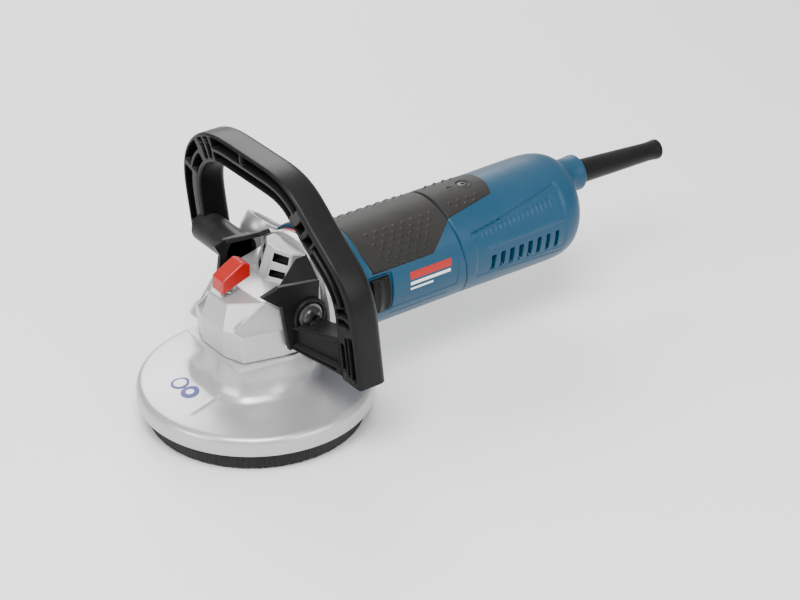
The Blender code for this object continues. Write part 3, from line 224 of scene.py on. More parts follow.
def edge_wear():
    """Group: a mask of rubbed edges, from the surface's pointiness and a noise."""
    tree, given, result = group(
        "Edge wear",
        [("Amount", FLOAT, 0.5), ("Scale", FLOAT, 120.0), ("Color", COLOR, (0.5, 0.5, 0.5, 1)),
         ("Worn Color", COLOR, (0.8, 0.8, 0.8, 1))],
        [("Color", COLOR), ("Mask", FLOAT)],
    )
    pointed = feed(tree, "ShaderNodeNewGeometry", {}, "Pointiness")
    sharp = feed(tree, "ShaderNodeMapRange", {"Value": pointed, "From Min": 0.53, "From Max": 0.62})
    rubbed = maths(tree, "MULTIPLY", sharp, noise(tree, given["Scale"], Detail=4.0))
    mask = maths(tree, "MULTIPLY", rubbed, given["Amount"], use_clamp=True)
    worn = feed(tree, "ShaderNodeMix", {"Factor": mask, 6: given["Color"], 7: given["Worn Color"]}, 2,
                data_type="RGBA")
    tree.links.new(worn, result["Color"])
    tree.links.new(mask, result["Mask"])
    return tree


def place_group(tree, builder, inputs):
    """Put a shared group into a material's tree, building it once, and feed it; returns its outputs."""
    if builder.__name__ not in GROUPS:
        GROUPS[builder.__name__] = builder()
    return feed(tree, "ShaderNodeGroup", inputs, None, node_tree=GROUPS[builder.__name__])


def finish(name, base, rough, metal=0.0, patch=0.12, speckle=0.06, dust=0.0, spread=0.1, grain=1200.0,
           coarse=150.0, mix=0.3, bump=0.02, wear=0.0, worn=(0.7, 0.7, 0.7), coat=0.0, specular=0.5,
           sheen=0.0, distance=0.0002):
    """A procedural material: varied colour, edge wear and a grain bump."""
    if name in LOOKS:
        return LOOKS[name]
    mat = bpy.data.materials.new(name)
    mat.use_nodes = True
    tree = mat.node_tree
    shader = tree.nodes["Principled BSDF"]
    for key, value in (("Metallic", metal), ("Coat Weight", coat), ("Coat Roughness", 0.25),
                       ("Specular IOR Level", specular), ("Sheen Weight", sheen)):
        shader.inputs[key].default_value = value
    varied = place_group(tree, surface_variation, {
        "Color": (*base[:3], 1), "Patch": patch, "Speckle": speckle, "Dust": dust, "Roughness": rough,
        "Rough Spread": spread})
    tone = varied["Color"]
    if wear > 0:
        tone = place_group(tree, edge_wear, {"Amount": wear, "Worn Color": (*worn, 1), "Color": tone})["Color"]
    texture = place_group(tree, mould_grain, {"Scale": grain, "Coarse": coarse, "Mix": mix})
    raised = feed(tree, "ShaderNodeBump", {"Strength": bump, "Distance": distance, "Height": texture["Height"]})
    for key, value in (("Base Color", tone), ("Roughness", varied["Roughness"]), ("Normal", raised)):
        tree.links.new(value, shader.inputs[key])
    LOOKS[name] = mat
    return mat


def looks():
    """All the tool's finishes by name, from the scene's colours."""
    tone = bpy.context.scene.grinder_finish
    return {
        "blue": finish("nylon_blue", tone.blue, 0.40, specular=0.32, patch=0.10, speckle=0.16, grain=1500,
                       bump=0.16, wear=0.25, worn=(0.10, 0.30, 0.42), dust=0.04, distance=0.00025),
        "black": finish("satin_black", tone.black, 0.38, specular=0.16, patch=0.2, speckle=0.1, grain=900,
                        bump=0.08, wear=0.3, worn=(0.05, 0.05, 0.05), dust=0.03),
        "grip": finish("soft_grip", tone.grip, 0.55, specular=0.18, patch=0.15, speckle=0.2, grain=1400, bump=0.25,
                       sheen=0.03, dust=0.05, distance=0.0003),
        "silver": finish("painted_casting", tone.silver, 0.34, 0.55, patch=0.05, speckle=0.05, grain=1100,
                         coarse=180, mix=0.5, bump=0.10, wear=0.5, worn=(0.75, 0.75, 0.76), coat=0.25),
        "red": finish("red_plastic", tone.red, 0.33, specular=0.3, patch=0.08, speckle=0.05, grain=900, bump=0.06,
                      coat=0.2),
        "steel": finish("bright_steel", tone.steel, 0.26, 1.0, patch=0.1, speckle=0.08, grain=700, bump=0.05),
        "dark_steel": finish("black_steel", (0.018, 0.018, 0.019), 0.30, 0.4, patch=0.2, speckle=0.15, grain=700,
                             bump=0.08, wear=0.6, worn=(0.4, 0.4, 0.4)),
        "laminations": finish("laminations", (0.18, 0.18, 0.19), 0.5, 0.7, grain=500, bump=0.2),
        "copper": finish("enamelled_copper", (0.48, 0.17, 0.06), 0.35, 0.9, patch=0.2, grain=500, bump=0.2),
        "brass": finish("brass", (0.60, 0.43, 0.16), 0.3, 1.0, grain=600, bump=0.1),
        "bristle": finish("nylon_bristle", (0.010, 0.010, 0.011), 0.55, patch=0.3, speckle=0.3, grain=1600,
                          bump=0.3, distance=0.0003),
        "wheel": finish("wheel_body", (0.20, 0.21, 0.22), 0.45, 0.6, patch=0.2, grain=500, bump=0.2, wear=0.5),
        "sticker": finish("sticker_blue", tone.sticker, 0.4, patch=0.03, speckle=0.03, bump=0.03),
        "white": finish("sticker_white", (0.80, 0.80, 0.79), 0.45, patch=0.03, speckle=0.03, bump=0.03),
        "board": finish("coated_board", (0.03, 0.09, 0.05), 0.5, patch=0.2, grain=400, bump=0.3),
    }


# ---- mesh helpers -----------------------------------------------------------
def piece(name, points, faces, look, body, replaced=(), slot=None, smooth=30.0):
    """A mesh object from numpy arrays that rides on a body and stands for CAD nodes."""
    mesh = bpy.data.meshes.new(name)
    mesh.from_pydata(np.asarray(points, float).reshape(-1, 3).tolist(), [], [list(map(int, f)) for f in faces])
    mesh.validate()
    work = bmesh.new()
    work.from_mesh(mesh)
    bmesh.ops.recalc_face_normals(work, faces=work.faces)
    work.to_mesh(mesh)
    work.free()
    mesh.shade_smooth()
    mesh.set_sharp_from_angle(angle=math.radians(smooth))
    mesh.materials.append(looks()[look])
    obj = bpy.data.objects.new(name, mesh)
    bpy.context.scene.collection.objects.link(obj)
    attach(obj, body)
    if replaced:
        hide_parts(*replaced)
    return obj


def grid_faces(rows, columns, wrap_rows=False, wrap_columns=True):
    """Quads of a grid of points in row order, closed on itself where asked."""
    r = np.arange(rows if wrap_rows else rows - 1)
    c = np.arange(columns if wrap_columns else columns - 1)
    i, j = np.meshgrid(r, c, indexing="ij")
    i2, j2 = (i + 1) % rows, (j + 1) % columns
    quads = np.stack([i * columns + j, i * columns + j2, i2 * columns + j2, i2 * columns + j], -1)
    return quads.reshape(-1, 4)


def join(parts):
    """Several (points, faces) as one."""
    points, faces, base = [], [], 0
    for pts, fcs in parts:
        pts = np.asarray(pts, float).reshape(-1, 3)
        points.append(pts)
        faces.extend(tuple(int(k) + base for k in f) for f in fcs)
        base += len(pts)
    return np.concatenate(points), faces


def frame_on(direction):
    """The unit direction and two unit vectors square to it."""
    d = np.asarray(direction, float)
    d = d / np.linalg.norm(d)
    side = np.cross(d, (0.0, 1.0, 0.0) if abs(d[1]) < 0.9 else (1.0, 0.0, 0.0))
    side = side / np.linalg.norm(side)
    return d, side, np.cross(d, side)


def revolve(profile, base, direction, segments=64):
    """Turn a closed ring of (radius, height) in millimetres: base + height*d + radius*(cos a, sin a)."""
    d, u, v = frame_on(direction)
    prof = np.asarray(profile, float) * MM
    a = np.linspace(0, 2 * np.pi, segments, endpoint=False)
    ring = np.cos(a)[:, None] * u + np.sin(a)[:, None] * v
    points = np.asarray(base, float) + prof[:, 1, None, None] * d + prof[:, 0, None, None] * ring[None]
    return points.reshape(-1, 3), grid_faces(len(prof), segments, wrap_rows=True)


def tube_faces(rows, columns):
    """Faces of rows of closed rings, with the first and last ring filled."""
    last = (rows - 1) * columns
    faces = [tuple(f) for f in grid_faces(rows, columns)]
    return faces + [tuple(range(columns))[::-1], tuple(range(last, last + columns))]


def slab(front, back):
    """A closed plate between two grids of points: both sheets and the skirt around them."""
    rows, columns = front.shape[:2]
    sheet = grid_faces(rows, columns, wrap_columns=False)
    index = np.arange(rows * columns).reshape(rows, columns)
    loop = np.concatenate([index[0], index[1:, -1], index[-1, -2::-1], index[-2:0:-1, 0]])
    after = np.roll(loop, -1)
    offset = rows * columns
    skirt = np.stack([loop, after, after + offset, loop + offset], -1)
    faces = np.concatenate([sheet, sheet[:, ::-1] + offset, skirt[:, ::-1]])
    return np.concatenate([front.reshape(-1, 3), back.reshape(-1, 3)]), faces


def prism_y(outline, low, high):
    """A flat plate between two heights in Y from an (x, z) outline in millimetres."""
    flat = np.asarray(outline, float)
    count = len(flat)
    ends = [np.stack([flat[:, 0], np.full(count, y), flat[:, 1]], -1) for y in (low, high)]
    turn = np.roll(np.arange(count), -1)
    faces = [tuple(range(count)), tuple(range(2 * count - 1, count - 1, -1))]
    faces += [(int(i), int(i) + count, int(j) + count, int(j)) for i, j in zip(range(count), turn)]
    return np.concatenate(ends) * MM, faces


def unit_grid(rows, columns):
    """Two parameters from 0 to 1 over a grid."""
    return np.meshgrid(np.linspace(0, 1, rows), np.linspace(0, 1, columns), indexing="ij")


def eased(values, reach, **ends):
    """Mean of each value and its neighbours up to a reach on both sides."""
    count = 2 * reach + 1
    return np.convolve(np.pad(values, reach, **(ends or {"mode": "edge"})), np.ones(count) / count, mode="valid")


def nearness(a, middles, width, turn):
    """Sum of bell curves exp(-(gap/width)^2) about some angles of a circle."""
    half = turn / 2
    return sum(np.exp(-(((a - mid + half) % turn - half) / width) ** 2) for mid in middles)


def sizes():
    """The scene's detail sizes."""
    return bpy.context.scene.grinder_sizes


def smooth_step(t):
    """0 before 0, 1 after 1, and 3t^2 - 2t^3 between."""
    t = np.clip(t, 0, 1)
    return t * t * (3 - 2 * t)


def band(x, low, high, width):
    """1 between low and high, with soft edges of a width."""
    return smooth_step((x - low) / width + 0.5) * smooth_step((high - x) / width + 0.5)


def bead(x, y, start, stop, width):
    """A rounded line from start to stop: exp(-(distance/width)^2)."""
    p = np.stack([x, y], -1)
    a, b = np.asarray(start, float), np.asarray(stop, float)
    run = b - a
    t = np.clip(((p - a) @ run) / (run @ run), 0, 1)
    gap = np.linalg.norm(p - a - t[..., None] * run, axis=-1)
    return np.exp(-(gap / width) ** 2)


def around(x, degrees, radius):
    """Points round the motor's axis in millimetres; 0 degrees is the left side and 90 the top."""
    a = np.radians(degrees)
    return np.stack([x * MM, -radius * MM * np.cos(a), AXIS_Z + radius * MM * np.sin(a)], -1)


def bevelled(obj, width, segments=2, angle=22.0):
    """Round an object's edges with a Bevel modifier."""
    step = obj.modifiers.new("edges", "BEVEL")
    step.width = width
    step.segments = segments
    step.limit_method = "ANGLE"
    step.angle_limit = math.radians(angle)
    step.harden_normals = True
    return obj


def paint_where(obj, mask, look):
    """Give the faces whose mean vertex mask is above a half another finish."""
    mesh = obj.data
    mesh.materials.append(looks()[look])
    starts = np.zeros(len(mesh.polygons), int)
    totals = np.zeros(len(mesh.polygons), int)
    mesh.polygons.foreach_get("loop_start", starts)
    mesh.polygons.foreach_get("loop_total", totals)
    corners = np.zeros(len(mesh.loops), int)
    mesh.loops.foreach_get("vertex_index", corners)
    mean = np.add.reduceat(np.asarray(mask, float).reshape(-1)[corners], starts) / totals
    mesh.polygons.foreach_set("material_index", (mean > 0.5).astype(np.int32))


# ---- body shells ------------------------------------------------------------
def pad_front(u, v):
    """Outline of the front grip in (x, degrees)."""
    degrees = 24 + v * 132
    edge = np.maximum(0.0, np.minimum(degrees - 24, 156 - degrees))
    start = 64 + 5 * np.maximum(0.0, 1 - edge / 25)
    seam = SEAM + SEAM_LEAN * R * np.sin(np.radians(degrees)) - 0.05
    stop = np.minimum(SEAM - 24.6 + 0.72 * edge, seam)
    return start + u * (stop - start), degrees


def pad_rear(u, v):
    """Outline of the rear grip in (x, degrees)."""
    edge = np.minimum(v, 1 - v)
    start = SEAM + SEAM_LEAN * R * np.sin(np.radians(60 + 60 * edge)) + 0.12
    stop = SEAM + 36 + 3.5 * np.minimum(1.0, edge / 0.3)
    low = 52 + 11 * u
    return start + u * (stop - start), low + v * (180 - 2 * low)


class GRINDER_OT_housing(bpy.types.Operator):
    """Blue motor housing: radius(x) with a flared neck, a label panel and a switch recess."""
    bl_idname = "grinder.housing"
    bl_label = "Motor housing"

    def execute(self, context):
        x_knots = [35.2, 38.6, 38.9, 39.3, 40.4, 43.0, 45.5, 49.0, 53.0, 58.0, 63.0, 67.0, 72.0, SEAM]
        r_knots = [37.4, 37.4, 42.2, 43.2, 44.0, 44.1, 43.7, 42.0, 39.9, 38.0, 36.9, 36.4, R, R]
        s = np.concatenate([np.linspace(0, 12, 80), np.linspace(12, 13, 150)[1:]])
        x_line = np.interp(s, range(14), x_knots)
        r_line = np.interp(s, range(14), r_knots)
        degrees = np.linspace(0, 360, 360, endpoint=False)
        x, a = np.meshgrid(x_line, degrees, indexing="ij")
        r = np.repeat(r_line[:, None], len(degrees), 1)
        lean = SEAM_LEAN * R * np.sin(np.radians(a)) * smooth_step((x - 100) / (SEAM - 100))
        x = x + lean
        side = (a + 180) % 360 - 180
        arc = np.radians(side) * R
        panel = band(x, 67.0, SEAM - 6, 0.8) * band(arc, -21.5 * 0.633, 26 * 0.633, 0.8)
        r -= 0.5 * panel
        for far in (False, True):
            lift = np.where(side < -90, -180 - side, 180 - side) if far else side
            rise = np.radians(lift) * R
            r += 0.45 * bead(x, rise, (84, -19.5), (SEAM - 12, -19.5), 0.8)
        recess = band(x, 59.2, 83.2, 1.0) * band(arc, -13.8, 13.8, 1.0)
        r += recess * (R - 1.75 - r)
        tip = np.abs(x - lean - SEAM)
        r -= 0.7 * np.exp(-(tip / 0.5) ** 2)
        points = around(x, a, r)
        rows, columns = x.shape
        inner = around(x[-1], a[-1], np.full(columns, R - 3.0))
        front = around(np.full(columns, 35.2), degrees, np.full(columns, 24.0))
        points = np.concatenate([front, points.reshape(-1, 3), inner])
        piece("housing_shell", points, grid_faces(rows + 2, columns), "blue", "tool_body",
              ("motor_housing", "label_plate"), "body_blue", 40)
        return {"FINISHED"}


class GRINDER_OT_cover(bpy.types.Operator):
    """Blue rear cover: rings that shrink and rise from the body into the cable neck, with slots and beads; the
    slots are painted black as painted shade.
    """
    bl_idname = "grinder.cover"
    bl_label = "Rear cover"

    def execute(self, context):
        lip = SEAM + 0.3                       # front edge of the cover at the axis
        knots = np.array([
            (lip, R, 0), (160, R + 0.1, 0), (200, R + 0.6, 0), (222, R + 0.7, 0), (231, R + 0.3, 0),
            (237, R - 1.2, 0.3), (241, R - 3.6, 1.2), (243.8, 29.4, 2.8), (245.4, 25.0, 5.4), (246.0, 20.0, 9.2),
            (246.6, 16.4, 12.4), (248.2, 14.0, 14.2), (251, 12.6, 15.3), (255, 12.0, 15.7), (259, 12.3, 15.7),
            (262.4, 12.6, 15.7), (263.6, 12.3, 15.7), (264, 11.4, 15.7), (264, 9.2, 15.7), (256, 9.2, 15.7),
        ])
        s = np.concatenate([np.linspace(0, 3, 190), np.linspace(3, 19, 110)[1:]])
        table = [np.interp(s, range(len(knots)), knots[:, k]) for k in range(3)]
        for k in range(3):
            table[k] = np.where(np.arange(len(s)) > 185, eased(table[k], 3), table[k])
        degrees = np.linspace(0, 360, 330, endpoint=False)
        x, a = np.meshgrid(table[0], degrees, indexing="ij")
        r = np.repeat(table[1][:, None], len(degrees), 1)
        lean = SEAM_LEAN * R * np.sin(np.radians(a)) * smooth_step((178 - x) / (178 - lip))
        x = x + lean
        side = (a + 180) % 360 - 180
        hollow = np.zeros_like(r)
        for far in (False, True):
            lift = np.where(side < 0, -180 - side, 180 - side) if far else side
            near = np.abs(lift) < 88
            rise = np.radians(lift) * R
            deg = math.radians(1) * R
            low, high = (-22 * deg, -30 * deg), (30 * deg, 35.5 * deg, 51 * deg)
            change = -0.55 * band(x, 151, 226, 2.0) * band(
                rise, np.interp(x, (150, 224), low), np.interp(x, (149, 174, 224), high), 1.2)
            for amount, x0, deg0, x1, deg1, width in (
                (-0.9, 150, 30, 174, 35.5, 0.9), (-0.9, 174, 35.5, 224, 51, 0.9), (0.6, 151, 28, 174, 33, 0.9),
                (-0.5, 157, 28, 217, 38.5, 0.7), (0.85, 161, 9.4, 222, 11.5, 0.9),
                (0.6, 164, -21.5, 225, -24, 0.9),
            ):
                change += amount * bead(x, rise, (x0, deg0 * deg), (x1, deg1 * deg), width)
            for rib in 158 + 3.9 * np.arange(16):
                top = np.interp(rib, (156, 217), (30, 38)) * deg
                change += 0.2 * bead(x, rise, (rib, top), (rib, top - 7.5 * deg), 0.55)
            for k in range(8):
                start = 163.9 + 7.6 * k
                slot = band(x, start, start + 2.6, 0.5) * band(rise, -19.2 * deg, (-1.5 + 0.3 * k) * deg, 0.6)
                hollow += np.where(near, slot, 0)
            r += np.where(near, change, 0)
        r -= 4.2 * hollow
        r -= 0.9 * band(x, 139, 176, 2) * band(side, 66, 114, 4)
        r -= 0.7 * np.exp(-((x - lean - lip) / 0.5) ** 2)
        y = -r * np.cos(np.radians(a))
        z = r * np.sin(np.radians(a)) + table[2][:, None]
        points = np.stack([x * MM, y * MM, AXIS_Z + z * MM], -1)
        rows, columns = x.shape
        inner = around(x[0], a[0], np.full(columns, R - 3.0))
        points = np.concatenate([inner, points.reshape(-1, 3)])
        shell = piece("cover_shell", points, grid_faces(rows + 1, columns), "blue", "tool_body", ("rear_cover",),
                      "body_blue", 40)
        # the sunk slots are painted black: painted shade standing in for the dark inside of the vent slots
        paint_where(shell, np.concatenate([np.zeros(columns), (hollow > 0.4).reshape(-1)]), "black")
        return {"FINISHED"}


def pad_surface(name, outline, columns, rows, bumps, node_name, dips=()):
    """A grip: the body's radius plus its thickness, rolled down at the rim, with bumps and dips."""
    u, v = unit_grid(columns, rows)
    x, a = outline(u, v)
    arc = np.radians(a - 90) * R
    long_way = (x[-1] - x[0])[None] * np.minimum(u, 1 - u)
    cross = np.abs(arc[:, -1] - arc[:, 0])[:, None] * np.minimum(v, 1 - v)
    rim = smooth_step(np.minimum(long_way, cross) / 1.6)
    r = R - 0.9 + 1.6 * rim ** 0.6
    height = sizes().bump_h / MM
    for bx, barc in bumps:
        r += height * np.exp(-(((x - bx) / 0.95) ** 2 + ((arc - barc) / 0.8) ** 2) ** 1.5)
    for dx, darc, size, deep in dips:
        gap = np.sqrt((x - dx) ** 2 + (arc - darc) ** 2)
        r -= deep * smooth_step((size - gap) / 0.6 + 0.5)
        r += 0.25 * np.exp(-((gap - size - 0.9) / 0.5) ** 2)
    shape = slab(around(x, a, r), around(x, a, np.full_like(r, R - 1.4)))
    return piece(name, *shape, "grip", "tool_body", (node_name,), "soft_grip", 55)


class GRINDER_OT_grips(bpy.types.Operator):
    """Soft grips over the body, with staggered bumps on both flanks."""
    bl_idname = "grinder.grips"
    bl_label = "Grips"

    def execute(self, context):
        step = sizes().bump_step / MM
        bumps = []
        for side in (-1, 1):
            for row in range(7):
                arc = side * (15.5 + 4.1 * row)
                for k in range(10):
                    x = 76.5 + step * (k + 0.5 * (row % 2)) + 0.55 * row
                    stop = 116.0 + 2.3 * (6 - row) - 1.0
                    if x < stop:
                        bumps.append((x, arc))
        pad_surface("front_grip_skin", pad_front, 190, 210, bumps, "grip_pad_front")
        few = []
        for side in (-1, 1):
            for row in range(2):
                few += [(144.5 + step * (k + 0.5 * row), side * (13.5 + 3.9 * row)) for k in range(4 - row)]
        pad_surface("rear_grip_skin", pad_rear, 110, 140, few, "grip_pad_rear",
                    [(COVER_SCREW_X, 0.0, 4.4, 0.6), (155.0, 0.0, 1.6, 0.5)])
        return {"FINISHED"}


# ---- handle -----------------------------------------------------------------
def bow_line(rows):
    """Centre line of the bow from the right foot: straight legs, a straight top and three arcs."""
    def arc(cy, cz, radius, start, stop):
        """Points on a circle between two angles."""
        a = np.radians(np.linspace(start, stop, 60))
        return np.stack([cy + radius * np.cos(a), cz + radius * np.sin(a)], -1)

    parts = [
        np.array([[LEG_Y, AXIS + 11.7]]),
        arc(LEG_Y - 44, BAR_Z - 44, 44, 0, 90),
        arc(-16, BAR_Z - 34, 34, 90, 147),
        arc(40 - LEG_Y, AXIS + 26.7, 40, 147, 180),
        np.array([[-LEG_Y, FOOT_Z]]),
    ]
    line = np.concatenate(parts)
    travel = np.concatenate([[0], np.cumsum(np.linalg.norm(np.diff(line, axis=0), axis=1))])
    keep = np.concatenate([[True], np.diff(travel) > 1e-6])
    s = np.linspace(0, travel[-1], rows)
    y, z = (np.interp(s, travel[keep], line[keep, k]) for k in range(2))
    y, z = (eased(values, 20, mode="reflect", reflect_type="odd") for values in (y, z))
    dy, dz = np.gradient(y, s), np.gradient(z, s)
    size = np.hypot(dy, dz)
    return s, y, z, dz / size, -dy / size


def front_pockets(s, n):
    """Pockets in the bow's front face, 0 to 1, from the distance along it and across it."""
    total = s.max()
    deep = np.zeros_like(s)

    def cell(s0, s1, n0, n1, bend=0.0, soft=1.3):
        """One pocket with soft walls; bend curves it along the bow."""
        shift = s - bend * (1 - (n / 10) ** 2)
        return band(shift, s0, s1, soft) * band(n, n0, n1, soft)

    for cut in (
        cell(9, 50, -1.0, 6.6), cell(55, 76, 1.5, 7.0), cell(55, 74, -6.6, -1.5),
        cell(79.5, 83.5, -6.5, 7.0, 3), cell(87, 91, -6.5, 7.0, 3),
        cell(97, 128, 1.0, 7.4), cell(130.5, 187, 1.0, 7.4), cell(97, 186, -7.2, -2.2),
        cell(193, 197.5, -7.0, 5.0, 2), cell(202, 207, -7.0, 5.0, 2),
        cell(212, total - 55.5, -0.6, 5.2), cell(214, total - 57, -7.2, -3.4),
        cell(total - 51.5, total - 47.5, -6.5, 5.6, -3), cell(total - 44, total - 40, -6.5, 5.6, -3),
        cell(total - 36, total - 4.5, 2.6, 6.2), cell(total - 34, total - 6, -1.6, 1.0),
        cell(total - 28, total - 8, -6.4, -3.2),
    ):
        deep = np.maximum(deep, cut)
    return deep


def raked(y, z, depth):
    """Points of the handle's raked plane in metres, at a depth behind its front face."""
    x = 16.0 - math.tan(math.radians(HANDLE_RAKE)) * (z - FOOT_Z) + depth
    return np.stack([x * MM, y * MM, z * MM], -1)


class GRINDER_OT_handle(bpy.types.Operator):
    """D-handle: a bar with front pockets along an arc line, lugs, web, bridge and boss."""
    bl_idname = "grinder.handle"
    bl_label = "Handle"

    def execute(self, context):
        depth = sizes().pocket_depth / MM
        s, y, z, oy, oz = bow_line(560)

        def part(name, shape, smooth):
            """A black piece of the handle."""
            return piece(name, *shape, "black", "tool_body", ("front_handle",), "black_plastic", smooth)

        def turn(cn, cd, radius, start):
            """A quarter of a rounded corner."""
            a = np.radians(np.linspace(start, start + 90, 7))
            return np.stack([cn + radius * np.cos(a), cd + radius * np.sin(a)], -1)

        ring = np.concatenate([
            np.stack([np.linspace(-7.7, 7.7, 62), np.zeros(62)], -1),
            turn(7.6, 2.4, 2.4, 270), turn(4.6, 15.6, 5.4, 0), turn(-4.6, 15.6, 5.4, 90),
            turn(-7.6, 2.4, 2.4, 180),
        ])
        n, d = ring[:, 0][None], ring[:, 1][None]
        grid_s = np.repeat(s[:, None], ring.shape[0], 1)
        grid_n = np.repeat(n, len(s), 0)
        front = (d < 0.01) & (np.abs(n) < 7.71)
        dip = np.where(front, depth * front_pockets(grid_s, grid_n), 0)
        dip += np.where(front, 0.35 * np.exp(-((np.abs(grid_n) - 7.3) / 0.5) ** 2), 0)
        yy = y[:, None] + oy[:, None] * grid_n
        zz = z[:, None] + oz[:, None] * grid_n
        part("handle_bar", (raked(yy, zz, d + dip), tube_faces(len(s), ring.shape[0])), 50)

        u, v = unit_grid(90, 70)
        inner, outer = BOLT_Y + 6.4, 12.0 - LEG_Y - 3.0
        wy = inner + u * (outer - inner)
        low = 57.0 + u * (FOOT_Z + 0.7 - 57.0)
        high = 72.5 + u * (78.0 - 72.5)
        wz = low + v * (high - low)
        wx = 1.0 + u * (15.6 - 1.0) - 0.105 * u * (wz - 50)
        cut = band(u, 0.10, 0.97, 0.03) * band(v, 0.24, 0.90, 0.05) * 3.4
        cut += band(u, 0.12, 0.90, 0.03) * band(v, 0.10, 0.17, 0.04) * 4.0
        edge = np.minimum(v, 1 - v)
        wx_front = wx + cut + 1.6 * (1 - smooth_step(edge / 0.07))
        back = np.stack([(wx + 21 - 6 * v * u) * MM, wy * MM, wz * MM], -1)
        front_side = np.stack([wx_front * MM, wy * MM, wz * MM], -1)
        part("handle_web", slab(front_side, back), 40)

        near = [(-2.8, AXIS + 8.4), (-4.3, AXIS + 20.4), (-6.5, AXIS + 20.9), (-18.7, AXIS + 31.2),
                (-5.5, AXIS + 34.6), (24.2, AXIS + 29.8), (23.4, AXIS + 17.4)]
        far = [(-2.4, AXIS + 8.0), (-0.4, AXIS + 20.8), (-4.8, AXIS + 29.2), (2.0, AXIS + 31.6),
               (24.2, AXIS + 29.8), (23.4, AXIS + 17.4)]
        foot = [(27.0, BOLT_Z - 1), (26.5, AXIS - 8.0), (0.9, AXIS - 13.0)]
        for side, name in ((-1, "left"), (1, "right")):
            outline = foot + (near if side < 0 else far)
            bevelled(part(f"handle_lug_{name}", prism_y(outline, side * LUG_FACE, side * 39.6), 30), 0.0007)
            low_front = (-4.8, side * 36.6, AXIS + 33.3) if side < 0 else (3.0, side * 36.6, AXIS + 31.0)
            fin = np.array([[low_front, (18.8, side * 21.0, AXIS + 38.6)],
                            [(24.6, side * 37.2, AXIS + 29.6), (27.2, side * 21.0, AXIS + 39.0)]], float)
            sunk = fin + np.array([0.6, -side * 1.8, -2.4])
            bevelled(part(f"handle_fin_{name}", slab(fin * MM, sunk * MM), 30), 0.0006)
            collar = [(9.0, LUG_FACE), (11.6, LUG_FACE), (11.9, 41.2), (11.2, 41.9), (9.6, 41.9), (9.0, 41.2)]
            part(f"handle_collar_{name}", revolve(collar, (BOLT.x, 0, BOLT.z), (0, side, 0)), 40)
        boss = [(0.0001, LUG_FACE), (11.0, LUG_FACE), (11.0, 79.0), (0.0001, 79.0)]
        part("handle_boss", revolve(boss, (BOLT.x, 0, (AXIS + 19.5) * MM), (0, 1, 0), 72), 40)
        return {"FINISHED"}


# ---- gear head --------------------------------------------------------------
VENTS = ((0.16, 0.80, 0.30, 0.74), (0.14, 0.84, 0.26, 0.70))


def head_faces():
    """Corners and faces of the near half of the casting; the far half mirrors it in Y."""
    z = AXIS
    corners = {
        "L0": (-30.5, -12, z - 19.5), "L1": (-25.3, -26.8, z - 19.5), "L2": (0, -33.6, z - 19.5),
        "L3": (29.3, -36.0, z - 19.5), "T0": (-31.0, -12, z - 1.0), "P": (-28.9, -20.8, z + 0.6),
        "T1": (-26.0, -27.4, z - 0.6), "T2": (2.5, -34.2, z - 0.3), "T3": (29.3, -36.1, z + 3),
        "S0": (-25.4, -9.5, z + 15.7), "D0": (-12.0, -9.2, z + 19.8), "E": (-9.0, -26.2, z + 18.6),
        "PR": (-1.3, -32.6, z + 14.4), "V0": (6.4, -3.4, z + 19.7), "V1": (14.6, -17.2, z + 19.4),
        "M0": (9.9, -3.4, z + 29.0), "M1": (17.5, -16.2, z + 28.0), "W0": (14.0, -3.4, z + 40.5),
        "W1": (21.0, -15.0, z + 38.0), "W2": (29.3, -17.6, z + 36.7), "Q": (29.3, -33.0, z + 21.0),
    }
    faces = [
        ("L0", "L1", "T1", "P", "T0"), ("L1", "L2", "T2", "T1"), ("L2", "L3", "T3", "T2"),
        ("T0", "P", "E", "S0"), ("P", "T1", "T2", "PR"), ("P", "PR", "E"), ("S0", "E", "D0"),
        ("D0", "E", "V1", "V0"), ("E", "PR", "V1"), ("PR", "T2", "T3", "Q"), ("PR", "Q", "V1"),
        ("V1", "Q", "W2", "M1"), ("M1", "W2", "W1"), ("W0", "W1", "W2"),
    ]
    across = [
        ("L0", "T0"), ("T0", "S0"), ("S0", "D0"), ("D0", "V0"), ("V0", "M0", "W0"), ("W0", "W2"),
        ("L3", "T3", "Q", "W2"), ("L0", "L1", "L2", "L3"),
    ]
    return corners, faces, across


def head_mesh():
    """The casting's faces with two sunk vents in each face of its prow; also the vents' wall and floor faces,
    which are painted black as painted shade.
    """
    corners, faces, across = head_faces()
    points, index, out, painted_shade_faces = [], {}, [], []

    def at(name, side):
        """Index of a corner, near or mirrored."""
        key = (name, side)
        if key not in index:
            index[key] = len(points)
            x, y, z = corners[name]
            points.append((x, y * side, z))
        return index[key]

    def push(point):
        """Index of a new point."""
        points.append(tuple(point))
        return len(points) - 1

    for side in (1, -1):
        for face in faces:
            out.append(tuple(at(name, side) for name in face))
        for quad, (a0, a1, b0, b1) in ((("V0", "V1", "M1", "M0"), VENTS[0]), (("M0", "M1", "W1", "W0"), VENTS[1])):
            ids = [at(name, side) for name in quad]
            p = np.array([points[i] for i in ids])
            inward = np.cross(p[1] - p[0], p[3] - p[0])
            inward = inward / np.linalg.norm(inward)
            if inward[0] < 0:
                inward = -inward
            hole = []
            for a, b in ((a0, b0), (a1, b0), (a1, b1), (a0, b1)):
                hole.append((1 - a) * (1 - b) * p[0] + a * (1 - b) * p[1] + a * b * p[2] + (1 - a) * b * p[3])
            rim = [push(h) for h in hole]
            deep = [push(h + inward * 5.5) for h in hole]
            # the vent's walls and floor are listed for black paint: painted shade standing in for the dark inside
            # of each vent
            for k in range(4):
                j = (k + 1) % 4
                out.append((ids[k], ids[j], rim[j], rim[k]))
                out.append((rim[k], rim[j], deep[j], deep[k]))
                painted_shade_faces.append(len(out) - 1)
            out.append(tuple(deep))
            painted_shade_faces.append(len(out) - 1)
    for strip in across:
        out.append(tuple(at(n, 1) for n in strip) + tuple(at(n, -1) for n in reversed(strip)))
    return np.array(points) * MM, out, painted_shade_faces


